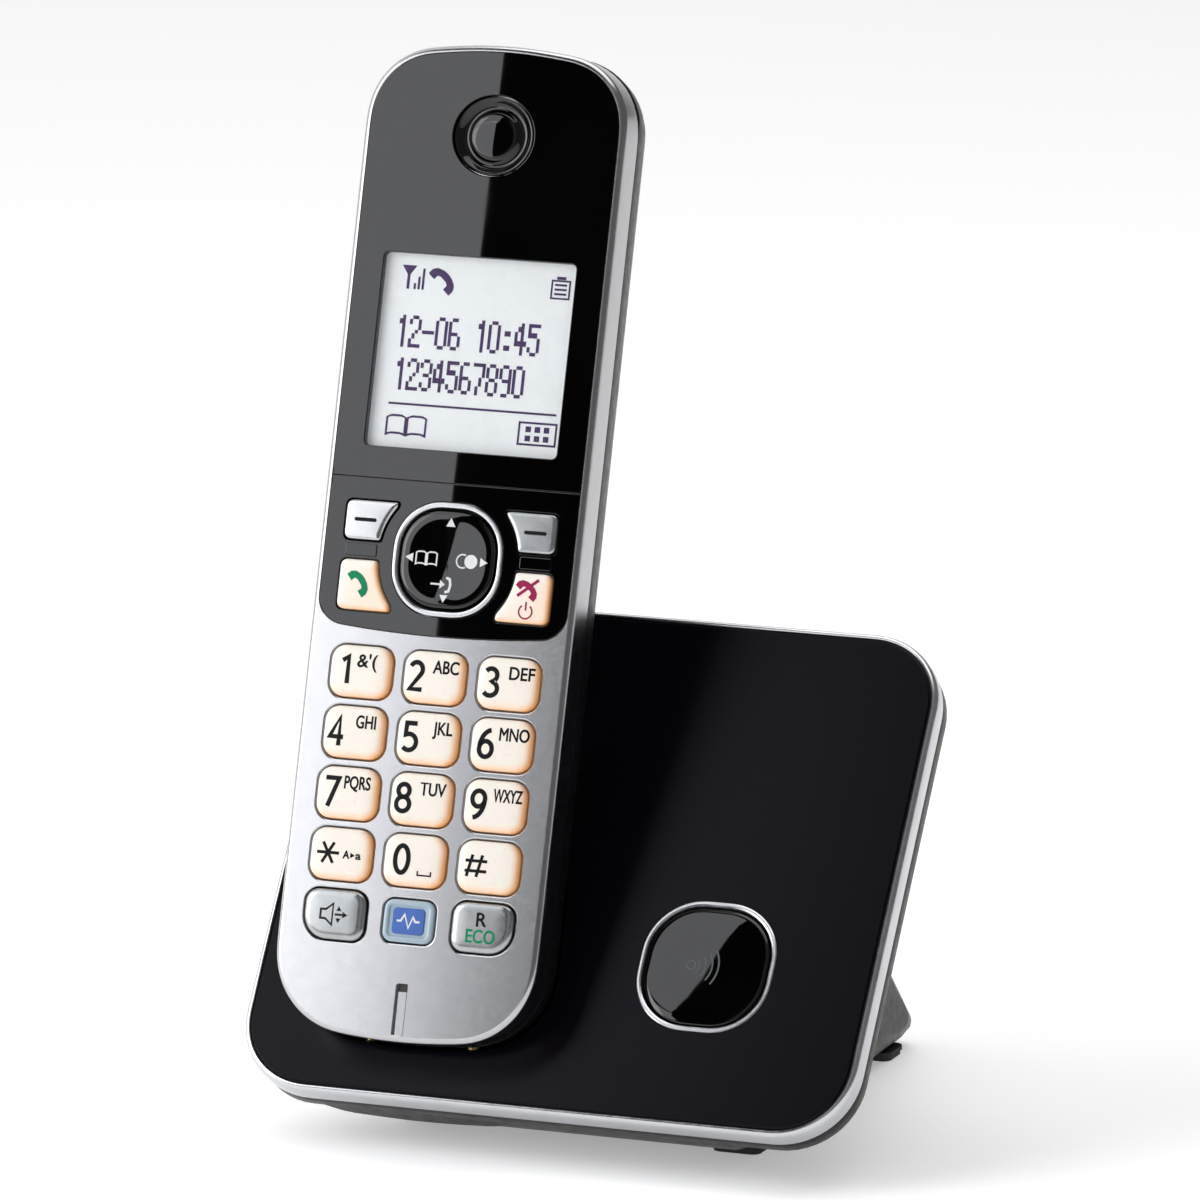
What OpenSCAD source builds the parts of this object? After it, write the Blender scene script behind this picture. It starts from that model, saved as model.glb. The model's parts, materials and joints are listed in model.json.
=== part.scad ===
// Cordless phone handset standing in its easel-backed charging base.
// Row frame: +Z up, the display faces -Y, origin on the ground under the middle of the outer box.

/* [Handset] */
// Length of the handset, mm
hand_l = 164; // [162:0.5:168]
// Width of the handset across its silver band, mm
hand_w = 45.8; // [45:0.1:48]
// Angle the seated handset leans back from upright, degrees
hand_lean = 17.2; // [16:0.1:18]
// Corner radius at the bottom of the handset, mm
hand_rb = 13.5; // [12.5:0.1:15]
// Corner radius at the top of the handset, mm
hand_rt = 12; // [11.5:0.1:14]
// Depth of the silver front cover, mm
band_d = 6.2; // [6:0.1:6.4]
// Depth of the handset body behind its front face, mm
hand_d = 24.5; // [24.2:0.1:25]

/* [Display and navigation] */
// Width of the display window, mm
lcd_w = 33.7; // [31:0.1:35]
// Height of the display window, mm
lcd_h = 32; // [30:0.1:34]
// Height of the window centre above the handset bottom, mm
lcd_y = 112.9; // [112:0.1:114]
// Height of the navigation key centre above the handset bottom, mm
nav_y = 79.1; // [78.5:0.1:79.6]
// Width of the navigation ring, mm
nav_w = 19.3; // [18.8:0.1:19.6]

/* [Keypad] */
// Width of a dial key, mm
key_w = 10.6; // [9.5:0.1:11]
// Height of a dial key, mm
key_h = 8.5; // [7.5:0.1:8.8]
// Spacing of the key columns, mm
col_pitch = 12.93; // [12.7:0.01:13.2]
// Spacing of the key rows, mm
row_pitch = 10; // [9.9:0.05:10.2]
// Height of the first key row above the handset bottom, mm
row_top = 59.7; // [59:0.1:60]
// How far the dial keys stand out of the face, mm
key_out = 0.9; // [0.5:0.1:1.2]
// Gap round every key, mm
key_gap = 0.3; // [0.2:0.05:0.4]

/* [Base] */
// Width of the base across its silver rim, mm
base_w = 106.8; // [104:0.1:112]
// Length of the base face along its slope, mm
base_l = 89; // [87:0.1:92]
// Angle the base face leans back from upright, degrees
base_lean = 36; // [35:0.1:37]
// Height of the lower edge of the base face above the ground, mm
base_lip = 10.5; // [10:0.1:11.5]
// Corner radius of the base face, mm
base_r = 12.8; // [10:0.1:15]
// Width of the locator ring, mm
loc_w = 23.4; // [20:0.1:26]
// Width of the stand behind the face, mm
stand_w = 63.6; // [60:0.2:66]
// Distance from the lower edge of the face back to the tip of the stand, mm
stand_tip = 98.6; // [96:0.1:102]

/* [Hidden] */
$fn = 48;
eps = 0.01;
fit = 0.05;

// handset seat on the base, before the whole is centred front to back
seat_x = -22.7;
seat_y = -3;
seat_z = base_lip + 9.3;

// handset outline
face_in = 0.8;
crown_b = 90;
crown_t = 75;
half_w = hand_w / 2;
front_y = seat_y + face_in * sin(hand_lean);
shift_y = -(stand_tip + front_y) / 2;
cb_x = half_w - hand_rb;
ct_x = half_w - hand_rt;
drop_b = crown_b - sqrt(crown_b * crown_b - cb_x * cb_x);
drop_t = crown_t - sqrt(crown_t * crown_t - ct_x * ct_x);

// depths measured from the front face of the handset
wall = 1.8;
panel_t = 1.35;
floor_z = -2.8;
flange_t = 0.65;
flange_z = -3.55;
mat_z = -4.45;
pcb_z = -5.2;
pcb_t = 1.4;
door_z = -27;
door_y0 = 24;
door_y1 = 86;
chin_y0 = 11.5;
door_hw = 11;
cell_z = -18.9;
part_y = 91.6;
nav_low = 66.45;
pitch_z = -3.7;
roll_z = -2.9;
pin_r = 0.5;

// keys beside the navigation ring: height of the straight sides, then [inset, height] steps of the top edge
side_top = 0.2;
side_edge = [[0.1, 0.38], [0.3, 0.5]];

// cradle clearances round the handset
seat_gap = 0.5;
cup_wall = 2.2;
bulge_in = 3.1;
bulge_low = 6.8;
bulge_wall = 1.6;

// base slab depths measured from its face
plate_t = 2.2;
rim_d = 4.2;
rim_in = 1.0;
slab_d = 9.5;
slab_wall = 2;
bpcb_z = -6.2;
bpcb_t = 1.2;
loc_x = 24.2;
loc_y = 26.9;
foot_h = 1.5;
jack_z = 13;
line_y = 50;
dc_y = 67;

// [depth, inset] of the handset shell from front to back, on a rounded curve
round_z = -7;
round_in = 10.5;
stations = 8;
shell = [for (i = [0:stations]) let (t = sin(90 * i / stations))
  [round_z - t * (hand_d + round_z), round_in * (1 - pow(1 - pow(t, 1.6), 1 / 1.5))]];
room = [for (i = [0, 1, 3, 5, 6, 8]) [round(shell[i][0] * 20) / 20, round(shell[i][1] * 20) / 20]];
cavity = [[-7, 1.8], [-11, 2.7], [-14, 3.9], [-17, 5.5], [-20, 8], [2 - hand_d, 11.4]];

col_x = [-col_pitch, 0, col_pitch];
contact_x = [-9, 9];
contact_z = -12.5;
contact_y = 2.1;
contact_h = 4.4;
base_screw_at = [[46, 8], [46, 79], [-46, 79], [9, 8]];
hand_screw_at = [[-16, 91], [16, 91], [-15.5, 10.5], [15.5, 10.5]];

silver = [0.74, 0.75, 0.77];
black = [0.06, 0.06, 0.07];
gloss = [0.03, 0.03, 0.035];
cream = [0.96, 0.93, 0.86];
grey = [0.55, 0.57, 0.58];
brass = [0.83, 0.68, 0.35];
steel = [0.7, 0.7, 0.72];
board = [0.1, 0.32, 0.18];

// ---------- frames ----------
module ground() translate([0, shift_y, 0]) children();

module on_hand() ground() translate([seat_x, seat_y, seat_z]) rotate([90 - hand_lean, 0, 0]) children();

module on_face() ground() translate([0, 0, base_lip]) rotate([90 - base_lean, 0, 0]) children();

module on_side(y) ground() translate([stand_w / 2, y, jack_z]) rotate([0, 90, 0]) children();

// ---------- flat shapes ----------
module rr(w, h, r) {
  square([w - 2 * r, h], center = true);
  square([w, h - 2 * r], center = true);
  for (sx = [-1, 1], sy = [-1, 1])
    translate([sx * (w / 2 - r), sy * (h / 2 - r)]) circle(r);
}

module crown(r, cy, sy, hw) {
  intersection() {
    translate([0, cy]) circle(r, $fn = 192);
    translate([-hw, sy > 0 ? hand_l / 2 : -5]) square([2 * hw, hand_l / 2 + 5]);
  }
}

// handset outline set in by d all round
module outline(d) {
  y0 = hand_rb + drop_b;
  y1 = hand_l - hand_rt - drop_t;
  translate([-(half_w - d), y0]) square([2 * (half_w - d), y1 - y0]);
  translate([-cb_x, drop_b + d]) square([2 * cb_x, hand_l / 2]);
  translate([-ct_x, hand_l / 2]) square([2 * ct_x, hand_l / 2 - drop_t - d]);
  for (s = [-1, 1]) {
    translate([s * cb_x, y0]) circle(hand_rb - d);
    translate([s * ct_x, y1]) circle(hand_rt - d);
  }
  crown(crown_b - d, crown_b, -1, cb_x);
  crown(crown_t - d, hand_l - crown_t, 1, ct_x);
}

// glossy upper half of the face, set in by d
module glossy(d) {
  intersection() {
    outline(1.15 + d);
    translate([0, nav_low + 120 + d]) rr(hand_w - 1.4 - 2 * d, 240, 5);
    translate([0, nav_low + 190 + d]) circle(190, $fn = 400);
  }
}

module nav_outline(d) {
  intersection() {
    glossy(d);
    translate([-half_w, 0]) square([hand_w, part_y - d]);
  }
}

// key outline with one lower corner of radius big, on the left for s = -1
module key_corner(w, h, r, s, big) {
  rl = s < 0 ? big : r;
  rt = s > 0 ? big : r;
  polygon([[rl - w / 2, -h / 2], [w / 2 - rt, -h / 2], [w / 2, rt - h / 2], [w / 2, h / 2 - r],
    [w / 2 - r, h / 2], [r - w / 2, h / 2], [-w / 2, h / 2 - r], [-w / 2, rl - h / 2]]);
  for (c = [[-1, -1, rl], [1, -1, rt], [1, 1, r], [-1, 1, r]])
    translate([c[0] * (w / 2 - c[2]), c[1] * (h / 2 - c[2])]) circle(c[2]);
}

// keys that curve round the navigation ring, grown by g
module side_key(s, y0, y1, x0, g) {
  difference() {
    translate([s > 0 ? x0 - g : -18.5 - g, y0 - g]) square([18.5 - x0 + 2 * g, y1 - y0 + 2 * g]);
    translate([0, nav_y]) rr(24.4 - 2 * g, 24.2 - 2 * g, 11.4 - g);
  }
}

module soft_shape(s, g) side_key(s, 81.3, 87.8, 9.5, g);

module call_shape(s, g) side_key(s, 69.8, 78, 9.3, g);

module dial_shape(g) rr(key_w + 2 * g, key_h + 2 * g, 2.4 + g);

module low_shape(i, g) {
  if (i == 0) key_corner(10.6 + 2 * g, 8.2 + 2 * g, 2.2 + g, -1, 4 + g);
  if (i == 1) rr(8.8 + 2 * g, 7 + 2 * g, 1.6 + g);
  if (i == 2) key_corner(10.6 + 2 * g, 8.2 + 2 * g, 2.2 + g, 1, 4 + g);
}

// ---------- solids shared by several parts ----------
module slice(z, d) translate([0, 0, z]) linear_extrude(eps) outline(d);

module loft(stations, top) {
  hull() {
    translate([0, 0, stations[0][0]]) linear_extrude(top - stations[0][0]) outline(stations[0][1]);
    for (i = [1:len(stations) - 1]) slice(stations[i][0], stations[i][1]);
  }
}

// room swept by the handset, grown by g and lengthened downwards by low
module hand_room(g, low) {
  hull() {
    for (s = room) translate([0, -low, s[0] - g]) linear_extrude(eps) outline(s[1] - g);
    translate([0, -low, 12]) linear_extrude(eps) outline(-g);
    for (y = [chin_y0 - g - low, door_y1])
      translate([-door_hw - g, y, door_z - g]) cube([2 * (door_hw + g), 1, eps]);
    translate([0, 8, 12]) linear_extrude(eps) outline(-g);
  }
}

module under_face(z, d) on_face() translate([0, 0, z - 60]) linear_extrude(60) slab_outline(d);

module behind(z) on_face() translate([-90, -60, z - 90]) cube([180, 200, 90]);

module key_body(z_top, soft) {
  hull() {
    translate([0, 0, z_top - eps]) linear_extrude(eps) children(1);
    translate([0, 0, z_top - soft]) linear_extrude(eps) children(0);
  }
  translate([0, 0, floor_z - 0.2]) linear_extrude(z_top - soft - floor_z + 0.2) children(0);
}

module post(x, y, r, z0, z1) translate([x, y, z0]) cylinder(r = r, h = z1 - z0);

module slab_outline(d) translate([0, base_l / 2 - 1]) rr(base_w - 2 * d, base_l - 2 * d, base_r - d);

module squircle(w, r) rr(w, w * 0.98, r);

// ---------- handset ----------
module handset_front_cover() {
  color(silver) on_hand() difference() {
    hull() {
      slice(-eps, face_in);
      translate([0, 0, -band_d]) linear_extrude(band_d - face_in) outline(0);
    }
    difference() {
      translate([0, 0, -band_d - 1]) linear_extrude(1 + band_d + floor_z) outline(wall);
      for (p = hand_screw_at)
        post(p[0], p[1], 2.4, -band_d, 0);
    }
    translate([0, 0, -panel_t - fit]) linear_extrude(3) glossy(-fit);
    translate([0, 0, -4]) linear_extrude(6) {
      for (r = [0:3], x = col_x)
        translate([x, row_top - r * row_pitch]) dial_shape(key_gap);
      for (i = [0:2])
        translate([col_x[i], 19.8]) low_shape(i, key_gap);
      for (s = [-1, 1]) {
        soft_shape(s, key_gap);
        call_shape(s, key_gap);
      }
      translate([0, nav_y]) squircle(nav_w - 2.2, 7);
      translate([0, lcd_y]) rr(38.6, 38, 1);
      translate([0, 149]) circle(5.8);
    }
    translate([-0.95, 9.4, -4]) cube([1.9, 1.9, 6]);
    translate([-0.9, -1, -0.35]) cube([1.8, 10.6, 2]);
    for (p = hand_screw_at)
      post(p[0], p[1], 1.1, -8, -1.9);
  }
}

module handset_rear_cover() {
  color(black) on_hand() difference() {
    union() {
      difference() {
        loft(shell, -band_d - fit);
        loft(cavity, -5);
      }
      intersection() {
        translate([0, 0, -30]) linear_extrude(40) outline(4.5);
        translate([-door_hw, chin_y0, door_z]) cube([2 * door_hw, door_y0 - chin_y0 - 0.2, 6]);
      }
      for (p = hand_screw_at)
        post(p[0], p[1], 2.6, -16, -7);
      translate([-12.9, 26, -23.5]) cube([25.8, 57, 11]);
    }
    translate([-11.1, 27.6, -30]) cube([22.2, 53.8, 16.3]);
    for (p = hand_screw_at) {
      post(p[0], p[1], 1.4, -30, 0);
      post(p[0], p[1], 2.2, -30, -15);
    }
    for (x = contact_x) {
      translate([x - 2.6, -1, contact_z - contact_h / 2 - 0.1])
        cube([5.2, contact_y + 1.65, contact_h + 0.2]);
      translate([x - 0.7, 0, contact_z + contact_h / 2 - 0.8]) cube([1.4, contact_y + 2.5, 0.8]);
    }
    for (a = [0:45:315])
      translate([5 * cos(a), 134 + 5 * sin(a), -26]) cylinder(r = 0.8, h = 6);
    translate([0, 134, -26]) cylinder(r = 0.8, h = 6);
  }
}

module battery_cover() {
  color(black) on_hand() difference() {
    hull() {
      translate([-door_hw - 1.6, door_y0, -24.7]) cube([2 * door_hw + 3.2, door_y1 - door_y0, eps]);
      translate([-door_hw, door_y0, door_z]) cube([2 * door_hw, door_y1 - door_y0 - 2, eps]);
    }
    for (i = [0:3])
      translate([-6, 70 + i * 2.6, door_z - 0.5]) cube([12, 1.1, 1]);
  }
}

module display_panel() {
  color(gloss) on_hand() translate([0, 0, -panel_t]) linear_extrude(panel_t - fit) difference() {
    intersection() {
      glossy(0);
      translate([-half_w, part_y + fit]) square([hand_w, hand_l]);
    }
    translate([0, lcd_y]) rr(lcd_w, lcd_h, 0.8);
    translate([0, 149]) scale([1.06, 1]) circle(6.7);
  }
}

module display_lens() {
  color([0.82, 0.86, 0.88, 0.6]) on_hand() translate([0, lcd_y, -panel_t])
    linear_extrude(panel_t - 0.15) rr(lcd_w - 0.1, lcd_h - 0.1, 0.75);
}

module lcd_glass() {
  color([0.8, 0.83, 0.85]) on_hand() translate([0, lcd_y, -3.1]) linear_extrude(1.6) rr(38.2, 37.4, 0.8);
}

module lcd_frame() {
  color([0.92, 0.92, 0.9]) on_hand() translate([0, lcd_y, pcb_z]) {
    linear_extrude(2.05) rr(38.2, 37.4, 0.8);
    for (s = [-1, 1])
      translate([s * 6 - 2, -20.6, 0]) cube([4, 2.4, 1.2]);
  }
}

module nav_panel() {
  color(gloss) on_hand() translate([0, 0, -panel_t]) linear_extrude(panel_t - fit) difference() {
    nav_outline(0);
    for (s = [-1, 1]) {
      soft_shape(s, key_gap);
      call_shape(s, key_gap);
    }
    translate([0, nav_y]) squircle(nav_w, 8);
  }
}

module nav_ring() {
  color(silver) on_hand() translate([0, nav_y, -panel_t]) linear_extrude(panel_t + 0.3) difference() {
    squircle(nav_w - 0.1, 7.95);
    squircle(nav_w - 2.2, 7);
  }
}

module nav_pivot() {
  color(grey) on_hand() translate([0, nav_y, 0]) {
    translate([-1.6, -1.6, -4.6]) cube([3.2, 3.2, 2.3]);
    translate([-4.7, 0, pitch_z]) rotate([0, 90, 0]) cylinder(r = pin_r, h = 9.4);
    translate([0, 3, roll_z]) rotate([90, 0, 0]) cylinder(r = pin_r, h = 6);
  }
}

module nav_key() {
  color(gloss) on_hand() translate([0, nav_y, 0]) difference() {
    union() {
      key_body(0.35, 0.4) {
        squircle(nav_w - 3.2, 6.5);
        squircle(nav_w - 4, 6.1);
      }
      translate([0, 0, -3.9]) cylinder(r = 7.4, h = 1);
      translate([0, 0, -3.9]) cylinder(r = 9.1, h = 0.5);
    }
    translate([-2.4, -2, -5]) cube([4.8, 4, 3.1]);
    translate([-5.7, -2, -5]) cube([11.4, 4, 2.5]);
    translate([0, 3.3, roll_z]) rotate([90, 0, 0]) cylinder(r = pin_r + 0.05, h = 6.6);
  }
}

module soft_key(s) {
  color(grey) on_hand() {
    translate([0, 0, floor_z - 0.2]) linear_extrude(side_top - floor_z + 0.2) soft_shape(s, 0);
    for (e = side_edge)
      translate([0, 0, -e[1]]) linear_extrude(2 * e[1]) soft_shape(s, -e[0]);
    translate([0, 0, flange_z]) linear_extrude(flange_t) soft_shape(s, 0.25);
  }
}

module call_key(s) {
  color(cream) on_hand() {
    translate([0, 0, floor_z - 0.2]) linear_extrude(side_top - floor_z + 0.2) call_shape(s, 0);
    for (e = side_edge)
      translate([0, 0, -e[1]]) linear_extrude(2 * e[1]) call_shape(s, -e[0]);
    translate([0, 0, flange_z]) linear_extrude(flange_t) call_shape(s, 0.25);
  }
}

module soft_key_left() soft_key(-1);

module soft_key_right() soft_key(1);

module talk_key() call_key(-1);

module off_key() call_key(1);

module dial_key(c, r) {
  color(cream) on_hand() translate([col_x[c], row_top - r * row_pitch, 0]) {
    key_body(key_out, 0.5) {
      dial_shape(0);
      dial_shape(-0.5);
    }
    translate([0, 0, flange_z]) linear_extrude(flange_t) dial_shape(0.35);
  }
}

module low_key(i, tint, top) {
  color(tint) on_hand() translate([col_x[i], 19.8, 0]) {
    key_body(top, 0.4) {
      low_shape(i, 0);
      low_shape(i, -0.4);
    }
    translate([0, 0, flange_z]) linear_extrude(flange_t) low_shape(i, 0.35);
  }
}

module key_1() dial_key(0, 0);

module key_2() dial_key(1, 0);

module key_3() dial_key(2, 0);

module key_4() dial_key(0, 1);

module key_5() dial_key(1, 1);

module key_6() dial_key(2, 1);

module key_7() dial_key(0, 2);

module key_8() dial_key(1, 2);

module key_9() dial_key(2, 2);

module key_star() dial_key(0, 3);

module key_0() dial_key(1, 3);

module key_hash() dial_key(2, 3);

module speaker_key() low_key(0, grey, 0.8);

module clear_key() low_key(1, [0.75, 0.85, 0.92], 0.4);

module recall_key() low_key(2, grey, 0.8);

module keypad_mat() {
  color([0.85, 0.86, 0.84]) on_hand() difference() {
    union() {
      translate([0, 52, pcb_z + 0.05]) linear_extrude(mat_z - pcb_z - 0.25) rr(39.6, 76, 4);
      for (r = [0:3], x = col_x)
        post(x, row_top - r * row_pitch, 2.2, pcb_z + 0.1, mat_z);
      for (x = col_x)
        post(x, 19.8, 2.2, pcb_z + 0.1, mat_z);
      for (s = [-1, 1], y = [73.5, 84.5])
        post(s * 14.6, y, 1.8, pcb_z + 0.1, mat_z);
    }
    post(0, nav_y, 9.6, -6, -2);
    for (p = hand_screw_at)
      post(p[0], p[1], 3, -6, -2);
  }
}

module handset_pcb() {
  color(board) on_hand() difference() {
    union() {
      translate([0, 0, pcb_z - pcb_t]) linear_extrude(pcb_t) outline(2.8);
      for (s = [-1, 1])
        translate([s * 4.3 - 0.7, nav_y - 1.4, pcb_z - 0.2]) cube([1.4, 2.8, 2.5]);
    }
    for (p = hand_screw_at)
      post(p[0], p[1], 2.9, -8, -4);
    for (s = [-1, 1])
      translate([s * 4.3 - 1.5, nav_y, pitch_z]) rotate([0, 90, 0]) cylinder(r = pin_r + 0.05, h = 3);
  }
}

module handset_shield() {
  color(steel) on_hand() translate([-13, 100, pcb_z - pcb_t - 2.4]) difference() {
    cube([26, 22, 2.4]);
    translate([0.3, 0.3, 0.3]) cube([25.4, 21.4, 3]);
  }
}

module earpiece_cap() {
  color(gloss) on_hand() translate([0, 149, 0]) rotate_extrude($fn = 64)
    polygon([[0, -0.3], [3.6, -0.35], [4.3, -0.7], [4.45, -1.1], [6.4, -1.1], [6.4, -1.39],
      [5.6, -1.39], [5.6, -2.2], [0, -2.2]]);
}

module earpiece_speaker() {
  color(steel) on_hand() translate([0, 149, pcb_z]) rotate_extrude($fn = 64)
    polygon([[0, 0], [6.2, 0], [6.2, 2], [5, 2.3], [0, 2.3]]);
}

module ringer_speaker() {
  color(steel) on_hand() translate([0, 134, -22.2]) rotate_extrude($fn = 64)
    polygon([[0, 0.6], [7.4, 0], [8, 0], [8, 3], [4.6, 3.2], [4.6, 6.4], [0, 6.4]]);
}

module microphone() {
  color(steel) on_hand() translate([0, 10.3, pcb_z]) cylinder(r = 2, h = 2.3);
}

module battery_cells() {
  color([0.25, 0.45, 0.3]) on_hand() for (s = [-1, 1])
    translate([s * 5.4, s > 0 ? 31.5 : 77.5, cell_z]) rotate([s > 0 ? -90 : 90, 0, 0]) rotate_extrude()
      polygon([[0, 0], [5.2, 0], [5.2, 45], [1.9, 45], [1.9, 45.9], [0, 45.9]]);
}

module battery_springs() {
  color(steel) on_hand() for (x = [-5.4, 5.4]) {
    translate([x - 4, 27.8, cell_z - 4]) cube([8, 0.5, 8]);
    translate([x - 4, 80.7, cell_z - 4]) cube([8, 0.5, 8]);
    translate([x, 31.3, cell_z]) rotate([90, 0, 0]) cylinder(r1 = 2, r2 = 3.4, h = 3.1);
    translate([x, 80.8, cell_z]) rotate([90, 0, 0]) cylinder(r = 1.6, h = 3);
  }
}

module handset_contacts() {
  color(brass) on_hand() for (x = contact_x) {
    translate([x - 2.5, contact_y, contact_z - contact_h / 2]) cube([5, 0.6, contact_h]);
    translate([x - 0.6, contact_y + 0.5, contact_z + contact_h / 2 - 0.7]) cube([1.2, 0.9, 0.6]);
  }
}

module handset_screws() {
  color(steel) on_hand() for (p = hand_screw_at)
    translate([p[0], p[1], -16.9]) screw(2.1, 1.9, 1, 14.9);
}

module screw(rh, hh, rs, len) {
  difference() {
    rotate_extrude($fn = 32)
      polygon([[0, 0], [rh, 0], [rh, hh * 0.5], [rs, hh], [rs, len - 1], [0, len]]);
    for (a = [0, 90])
      rotate([0, 0, a]) translate([-rh * 0.65, -0.25, -eps]) cube([rh * 1.3, 0.5, 0.9]);
  }
}

// ---------- base ----------
module base_front_panel() {
  color(black) difference() {
    on_face() {
      hull() {
        translate([0, 0, -eps]) linear_extrude(eps) slab_outline(rim_in + 0.5);
        translate([0, 0, -plate_t]) linear_extrude(plate_t - 0.5) slab_outline(rim_in + fit);
      }
      for (p = base_screw_at)
        post(p[0], p[1], 3, -7.2, 0.5 - plate_t);
    }
    on_hand() hand_room(seat_gap, 0.2);
    on_face() {
      translate([loc_x, loc_y, -6]) linear_extrude(8) squircle(loc_w, 9.6);
      for (p = base_screw_at)
        post(p[0], p[1], 1.3, -8, -1.4);
    }
  }
}

module base_trim() {
  color(silver) on_face() difference() {
    hull() {
      translate([0, 0, -0.2]) linear_extrude(eps) slab_outline(0.7);
      translate([0, 0, -rim_d]) linear_extrude(rim_d - 0.9) slab_outline(0);
    }
    translate([0, 0, -plate_t]) linear_extrude(plate_t + 1) slab_outline(rim_in);
    translate([0, 0, -rim_d - 1]) linear_extrude(rim_d) slab_outline(rim_in + 1.4);
  }
}

module base_rear_case() {
  color(black) difference() {
    union() {
      on_face() difference() {
        hull() {
          translate([0, 0, -rim_d - fit]) linear_extrude(eps) slab_outline(0.15);
          translate([0, 0, -7.2]) linear_extrude(eps) slab_outline(0.3);
          translate([0, 0, -8.6]) linear_extrude(eps) slab_outline(1);
          translate([0, 0, -slab_d]) linear_extrude(eps) slab_outline(3);
        }
        translate([0, 0, slab_wall - slab_d]) linear_extrude(20) slab_outline(3);
      }
      intersection() {
        on_hand() hand_room(bulge_in + bulge_wall, bulge_low + bulge_wall);
        under_face(slab_wall - slab_d, 0.6);
      }
      on_face() for (p = base_screw_at)
        post(p[0], p[1], 4, -slab_d + 0.1, -7.3);
    }
    intersection() {
      on_hand() hand_room(bulge_in, bulge_low);
      under_face(10, 2.2);
    }
    on_face() for (p = base_screw_at) {
      post(p[0], p[1], 1.6, -12, 0);
      post(p[0], p[1], 2.7, -12, -8);
    }
    on_face() translate([loc_x, 66, -12]) for (i = [-3:3])
      translate([i * 4 - 0.8, -7, 0]) cube([1.6, 14, 12]);
  }
}

module cradle_cup() {
  color(black) difference() {
    intersection() {
      on_hand() hand_room(seat_gap + cup_wall, cup_wall);
      behind(-plate_t - 2 * fit);
    }
    on_hand() hand_room(seat_gap, 0.2);
    on_hand() for (x = contact_x)
      translate([x, 2, contact_z]) rotate([90, 0, 0]) cylinder(r = 1.5, h = 8);
  }
}

module charge_contact(x) {
  color(brass) on_hand() translate([x, contact_y - 0.1, contact_z]) rotate([90, 0, 0]) rotate_extrude($fn = 32)
    polygon([[0, 0], [0.9, 0], [1.2, 0.4], [1.2, 6.6], [2.2, 6.6], [2.2, 7.2], [0, 7.2]]);
}

module charge_contact_left() charge_contact(contact_x[0]);

module charge_contact_right() charge_contact(contact_x[1]);

module stand_side(d) {
  polygon([[9, 5.2 + d], [17.5 + d, foot_h + d], [stand_tip - 5 - 2 * d, foot_h + d],
    [stand_tip - 0.6 - 2 * d, 2.2 + d], [stand_tip - 2 * d, 3.2 + d], [stand_tip - 0.6 - 2 * d, 4.2 + d],
    [54 - d, 47.4 - d], [52.6 - d, 48.6 - d], [51 - d, 49.2 - d], [30, 49.2 - d], [9, 20]]);
}

module wedge(d) rotate([90, 0, 90]) linear_extrude(stand_w - 2 * d, center = true) stand_side(d);

// outside of the stand, with its long edges rounded in steps of [width taken off, inset]
module wedge_rounded() {
  rotate([90, 0, 90]) hull() {
    for (e = [[6, 0], [2.8, 0.45], [0.9, 1.3], [0, 2.6]])
      linear_extrude(stand_w - e[0], center = true) stand_side(e[1]);
  }
}

module stand_housing() {
  color(black) difference() {
    ground() wedge_rounded();
    ground() wedge(2.4);
    on_face() translate([-90, -60, -slab_d - fit]) cube([180, 200, 90]);
    on_hand() hand_room(bulge_in + bulge_wall + fit, bulge_low + bulge_wall + fit);
    on_side(line_y) translate([0, 0, -6]) linear_extrude(12) rr(13 + 2 * fit, 12.6 + 2 * fit, 0.6 + fit);
    on_side(dc_y) translate([0, 0, -6]) cylinder(r = 4.6 + fit, h = 12);
  }
}

module line_jack() {
  color([0.12, 0.12, 0.13]) on_side(line_y) difference() {
    translate([0, 0, -12]) linear_extrude(12) rr(13, 12.6, 0.6);
    translate([-3.5, -4.9, -10.6]) cube([7, 9.8, 12]);
    translate([3, -2, -10.6]) cube([2.4, 4, 12]);
  }
}

module dc_inlet() {
  color([0.12, 0.12, 0.13]) on_side(dc_y) translate([0, 0, -12]) {
    difference() {
      cylinder(r = 4.6, h = 12);
      translate([0, 0, 1.4]) cylinder(r = 2.75, h = 12);
    }
    cylinder(r = 0.85, h = 10.8);
  }
}

module base_feet() {
  color([0.1, 0.1, 0.1]) ground() for (s = [-1, 1], y = [20.5, 84])
    translate([s * 27.3, y + 3.9, 0]) {
      linear_extrude(foot_h - 0.6) rr(8.2, 7.2, 1.5);
      translate([0, 0, foot_h - 0.7]) linear_extrude(0.7) rr(8.8, 7.8, 1.8);
    }
}

module locator_ring() {
  color(silver) on_face() translate([loc_x, loc_y, -plate_t]) linear_extrude(plate_t + 0.25) difference() {
    squircle(loc_w - 0.1, 9.55);
    squircle(loc_w - 2, 8.8);
  }
}

module locator_button() {
  color(gloss) on_face() translate([loc_x, loc_y, 0]) {
    hull() {
      translate([0, 0, 0.15]) linear_extrude(eps) squircle(loc_w - 3.2, 8.2);
      translate([0, 0, -0.4]) linear_extrude(eps) squircle(loc_w - 2.6, 8.5);
    }
    translate([0, 0, -2.6]) linear_extrude(2.25) squircle(loc_w - 2.6, 8.5);
    translate([0, 0, -2.95]) linear_extrude(0.6) squircle(loc_w - 0.4, 9.4);
    translate([0, 0, -3.6]) cylinder(r = 2, h = 0.8);
  }
}

module locator_switch() {
  color(steel) on_face() translate([loc_x, loc_y, bpcb_z]) {
    translate([-3, -3, 0]) cube([6, 6, 1.5]);
    cylinder(r = 1.6, h = 1.9);
  }
}

module base_pcb() {
  color(board) on_face() translate([0, 0, bpcb_z - bpcb_t]) difference() {
    translate([27.5, 44]) linear_extrude(bpcb_t) rr(41, 66, 3);
    for (p = base_screw_at)
      post(p[0], p[1], 4.6, -2, 3);
  }
}

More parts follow.
